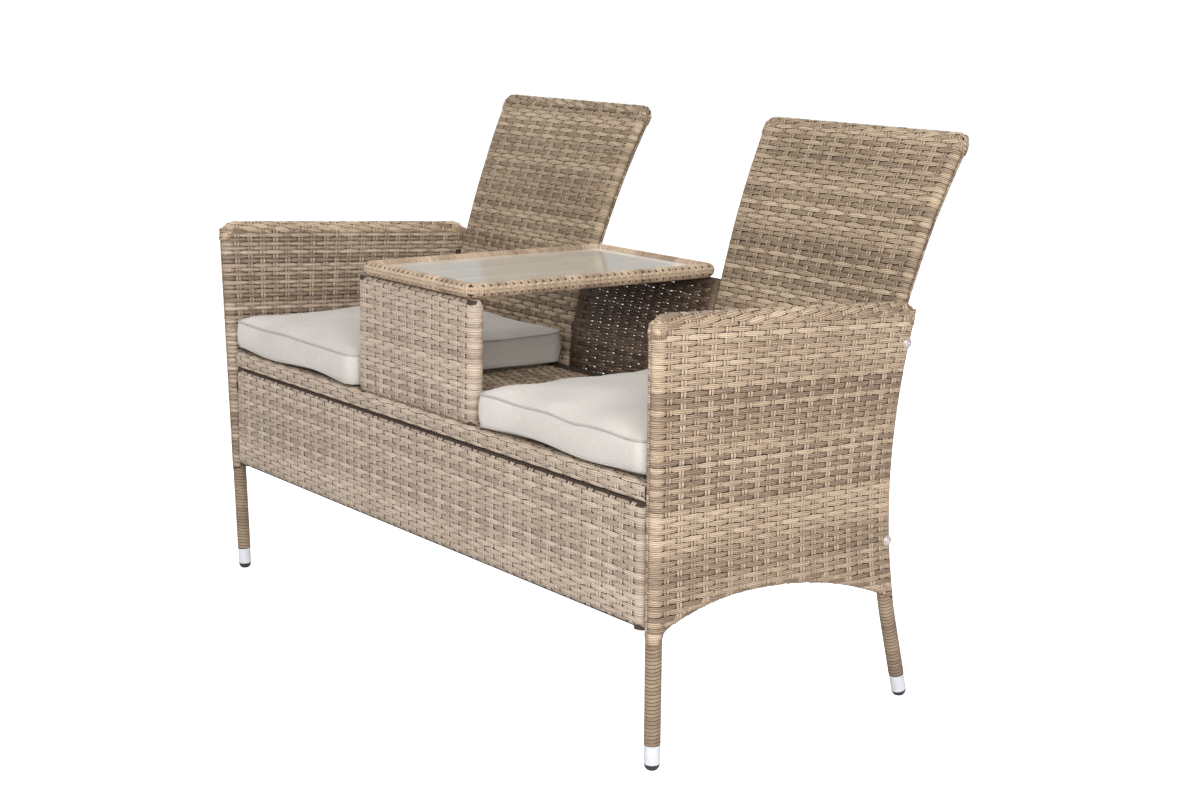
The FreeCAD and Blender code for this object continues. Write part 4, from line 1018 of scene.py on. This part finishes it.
def made_with(piece, kind, **settings):
    """The mesh that a modifier makes of a piece."""
    modifier = piece.modifiers.new("step", kind)
    for key, value in settings.items():
        setattr(modifier, key, value)
    fresh = bpy.data.meshes.new_from_object(piece.evaluated_get(bpy.context.evaluated_depsgraph_get()))
    piece.modifiers.remove(modifier)
    return fresh


def make_cushion(side, word, seed):
    """One cushion with its piping.

    The solid is remeshed, puffed, stretched back to its own width and depth, and dented. The piping
    follows the seam's outline, drawn to the cover's nearest point but held near the seam's height.
    """
    solid = bench[word + "_cushion"].data
    piece = new_object(word + "_cushion_cover", solid.copy())
    piece.data = made_with(piece, "REMESH", mode="VOXEL", voxel_size=voxel_size)
    swell(piece)
    piece.data = made_with(piece, "SUBSURF", levels=1)
    points = points_of(piece.data)
    for axis in (0, 1):
        span, goal = [(run.min(), run.max()) for run in (points[:, axis], points_of(solid)[:, axis])]
        points[:, axis] = np.interp(points[:, axis], span, goal)
    points[:, 2] += uneven(points, seed)
    points[:, 2] = np.maximum(points[:, 2], cushion_rest_height)
    piece.data.vertices.foreach_set("co", points.ravel())
    piece.data.polygons.foreach_set("use_smooth", np.ones(len(piece.data.polygons), bool))
    piece.data.materials.clear()
    piece.data.materials.append(linen.material)
    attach(piece, word + "_cushion_body")
    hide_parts(word + "_cushion")
    surface = BVHTree.FromObject(piece, bpy.context.evaluated_depsgraph_get())
    cords = []
    for height in cushion_seams:
        line = to_metres(seam_outline(side, height))
        snapped = np.array([surface.find_nearest(Vector(point))[0] for point in line])
        seam = height / 1000.0 + uneven(line, seed)
        snapped[:, 2] = snapped[:, 2] * (1 - piping_hold) + seam * piping_hold
        snapped[-1] = snapped[0]
        path = snapped * 1000.0 - np.array([0.0, front_feet_y, 0.0])
        cords.append(winding(path, (0, 0, 1), piping_radius, piping_pitch, slant=2.0, ripple=0.25,
                             closed=True, sides=8))
    add_piece(word + "_cushion_piping", cords, piping.material, word + "_cushion_body")


make_cushion(1, "right", 3)
make_cushion(-1, "left", 5)

# Steel, screws and hidden surfaces
# The frame is brown powder-coated tube. Bolts and washers are zinc plated, hooks and studs black.
# Under the strands lies the inner side of the weave, coloured near black as painted shade in the gaps between
# strands.

steel = Finish("brown_powder_coat")
pores = steel.noise(2600.0, 2.0)
steel.surface(Base_Color=steel.ramp(pores, (0.3, (0.035, 0.024, 0.018)), (0.8, (0.06, 0.042, 0.032))),
              Roughness=0.5 + 0.1 * pores)
steel.bump(pores, 0.00008, 0.5)
zinc = Finish("zinc_plate")
dull = zinc.noise(500.0, 3.0)
zinc.surface(Base_Color=zinc.ramp(dull, (0.3, (0.60, 0.55, 0.54)), (0.8, (0.80, 0.75, 0.74))),
             Metallic=0.7, Roughness=0.3 + 0.2 * dull)
zinc.bump(dull, 0.00005, 0.5)
black_steel = Finish("black_steel")
specks = black_steel.noise(1500.0)
black_steel.surface(Base_Color=black_steel.ramp(specks, (0.3, (0.012, 0.012, 0.012)),
                                                (0.8, (0.04, 0.04, 0.04))),
                    Roughness=0.4 + 0.15 * specks)
# Near-black colour as painted shade, showing through the gaps and slits between strands.
backing = Finish("painted_shade_backing")
backing.surface(Base_Color=backing.ramp(backing.noise(400.0), (0.3, (0.030, 0.019, 0.012)),
                                        (0.8, (0.070, 0.046, 0.030))),
                Roughness=0.8)

slot_finishes = {"frame_steel": steel, "bolt_steel": zinc, "black_steel": black_steel, "clear_rubber": rubber,
                 "foot_sleeve": sleeve, "black_plastic": black_plastic, "table_glass": glass,
                 "rattan_weave": backing, "cushion_cloth": linen}
for part in frame["record"]["subparts"]:
    mesh = bench[part["node"]].data
    mesh.materials.clear()
    mesh.materials.append(slot_finishes[part["material_slot"]].material)

# Stage
# A pale floor that the camera sees as white but that keeps the bench's shadow, white surroundings,
# four large soft lamps, and a camera where the photo was taken from.

floor_half = 9.0
floor_glow = 0.9
world_light = 0.38
world_white = 1.05
middle_of_bench = (0, 0, 0.4)
camera_spot = (2647.622, -1671.454, 1060.461)
camera_heading = np.radians(52.4250)
camera_dip = np.radians(11.4329)
camera_roll = np.radians(1.0271)
camera_lens = 59.624

floor_mesh = bpy.data.meshes.new("floor")
floor_mesh.from_pydata([(x * floor_half, y * floor_half, 0) for x, y in ((-1, -1), (1, -1), (1, 1), (-1, 1))],
                       [], [(0, 1, 2, 3)])
floor = new_object("floor", floor_mesh)
pale = Finish("pale_floor")
seen = pale.node("ShaderNodeLightPath", output="Is Camera Ray")
pale.surface(Base_Color=(0.81, 0.81, 0.81), Roughness=0.9,
             Emission_Color=pale.ramp(seen, (0.0, (0.0, 0.0, 0.0)), (1.0, (1.0, 1.0, 1.0))),
             Emission_Strength=floor_glow)
floor_mesh.materials.append(pale.material)

world = bpy.data.worlds.new("studio")
bpy.context.scene.world = world
world.use_nodes = True
sky = world.node_tree.nodes["Background"]
sky.inputs["Color"].default_value = (1, 1, 1, 1)
rays = world.node_tree.nodes.new("ShaderNodeLightPath")
shine = world.node_tree.nodes.new("ShaderNodeMapRange")
shine.inputs["To Min"].default_value = world_light
shine.inputs["To Max"].default_value = world_white
world.node_tree.links.new(rays.outputs["Is Camera Ray"], shine.inputs["Value"])
world.node_tree.links.new(shine.outputs["Result"], sky.inputs["Strength"])


def add_lamp(name, spot, size, energy):
    """A soft lamp aimed at the middle of the bench."""
    data = bpy.data.lights.new(name, "AREA")
    data.energy = energy
    data.size = size
    lamp = new_object(name, data)
    lamp.location = spot
    lamp.rotation_euler = (Vector(middle_of_bench) - Vector(spot)).to_track_quat("-Z", "Y").to_euler()


add_lamp("key_lamp", (3.4, -2.1, 2.2), 2.0, 168.0)
add_lamp("top_lamp", (0.2, -0.6, 3.4), 2.4, 28.0)
add_lamp("rear_lamp", (-2.2, 3.4, 2.2), 2.4, 45.0)
add_lamp("fill_lamp", (-2.4, -3.2, 2.0), 2.4, 30.0)

camera_data = bpy.data.cameras.new("camera")
camera = new_object("camera", camera_data)
camera_data.sensor_width = 36.0
camera_data.lens = camera_lens
turn = (Matrix.Rotation(camera_heading, 4, "Z") @ Matrix.Rotation(np.pi / 2 - camera_dip, 4, "X")
        @ Matrix.Rotation(camera_roll, 4, "Z"))
camera.matrix_world = Matrix.Translation(Vector(to_metres(camera_spot))) @ turn
bpy.context.scene.camera = camera
bpy.context.scene.view_settings.view_transform = "Standard"
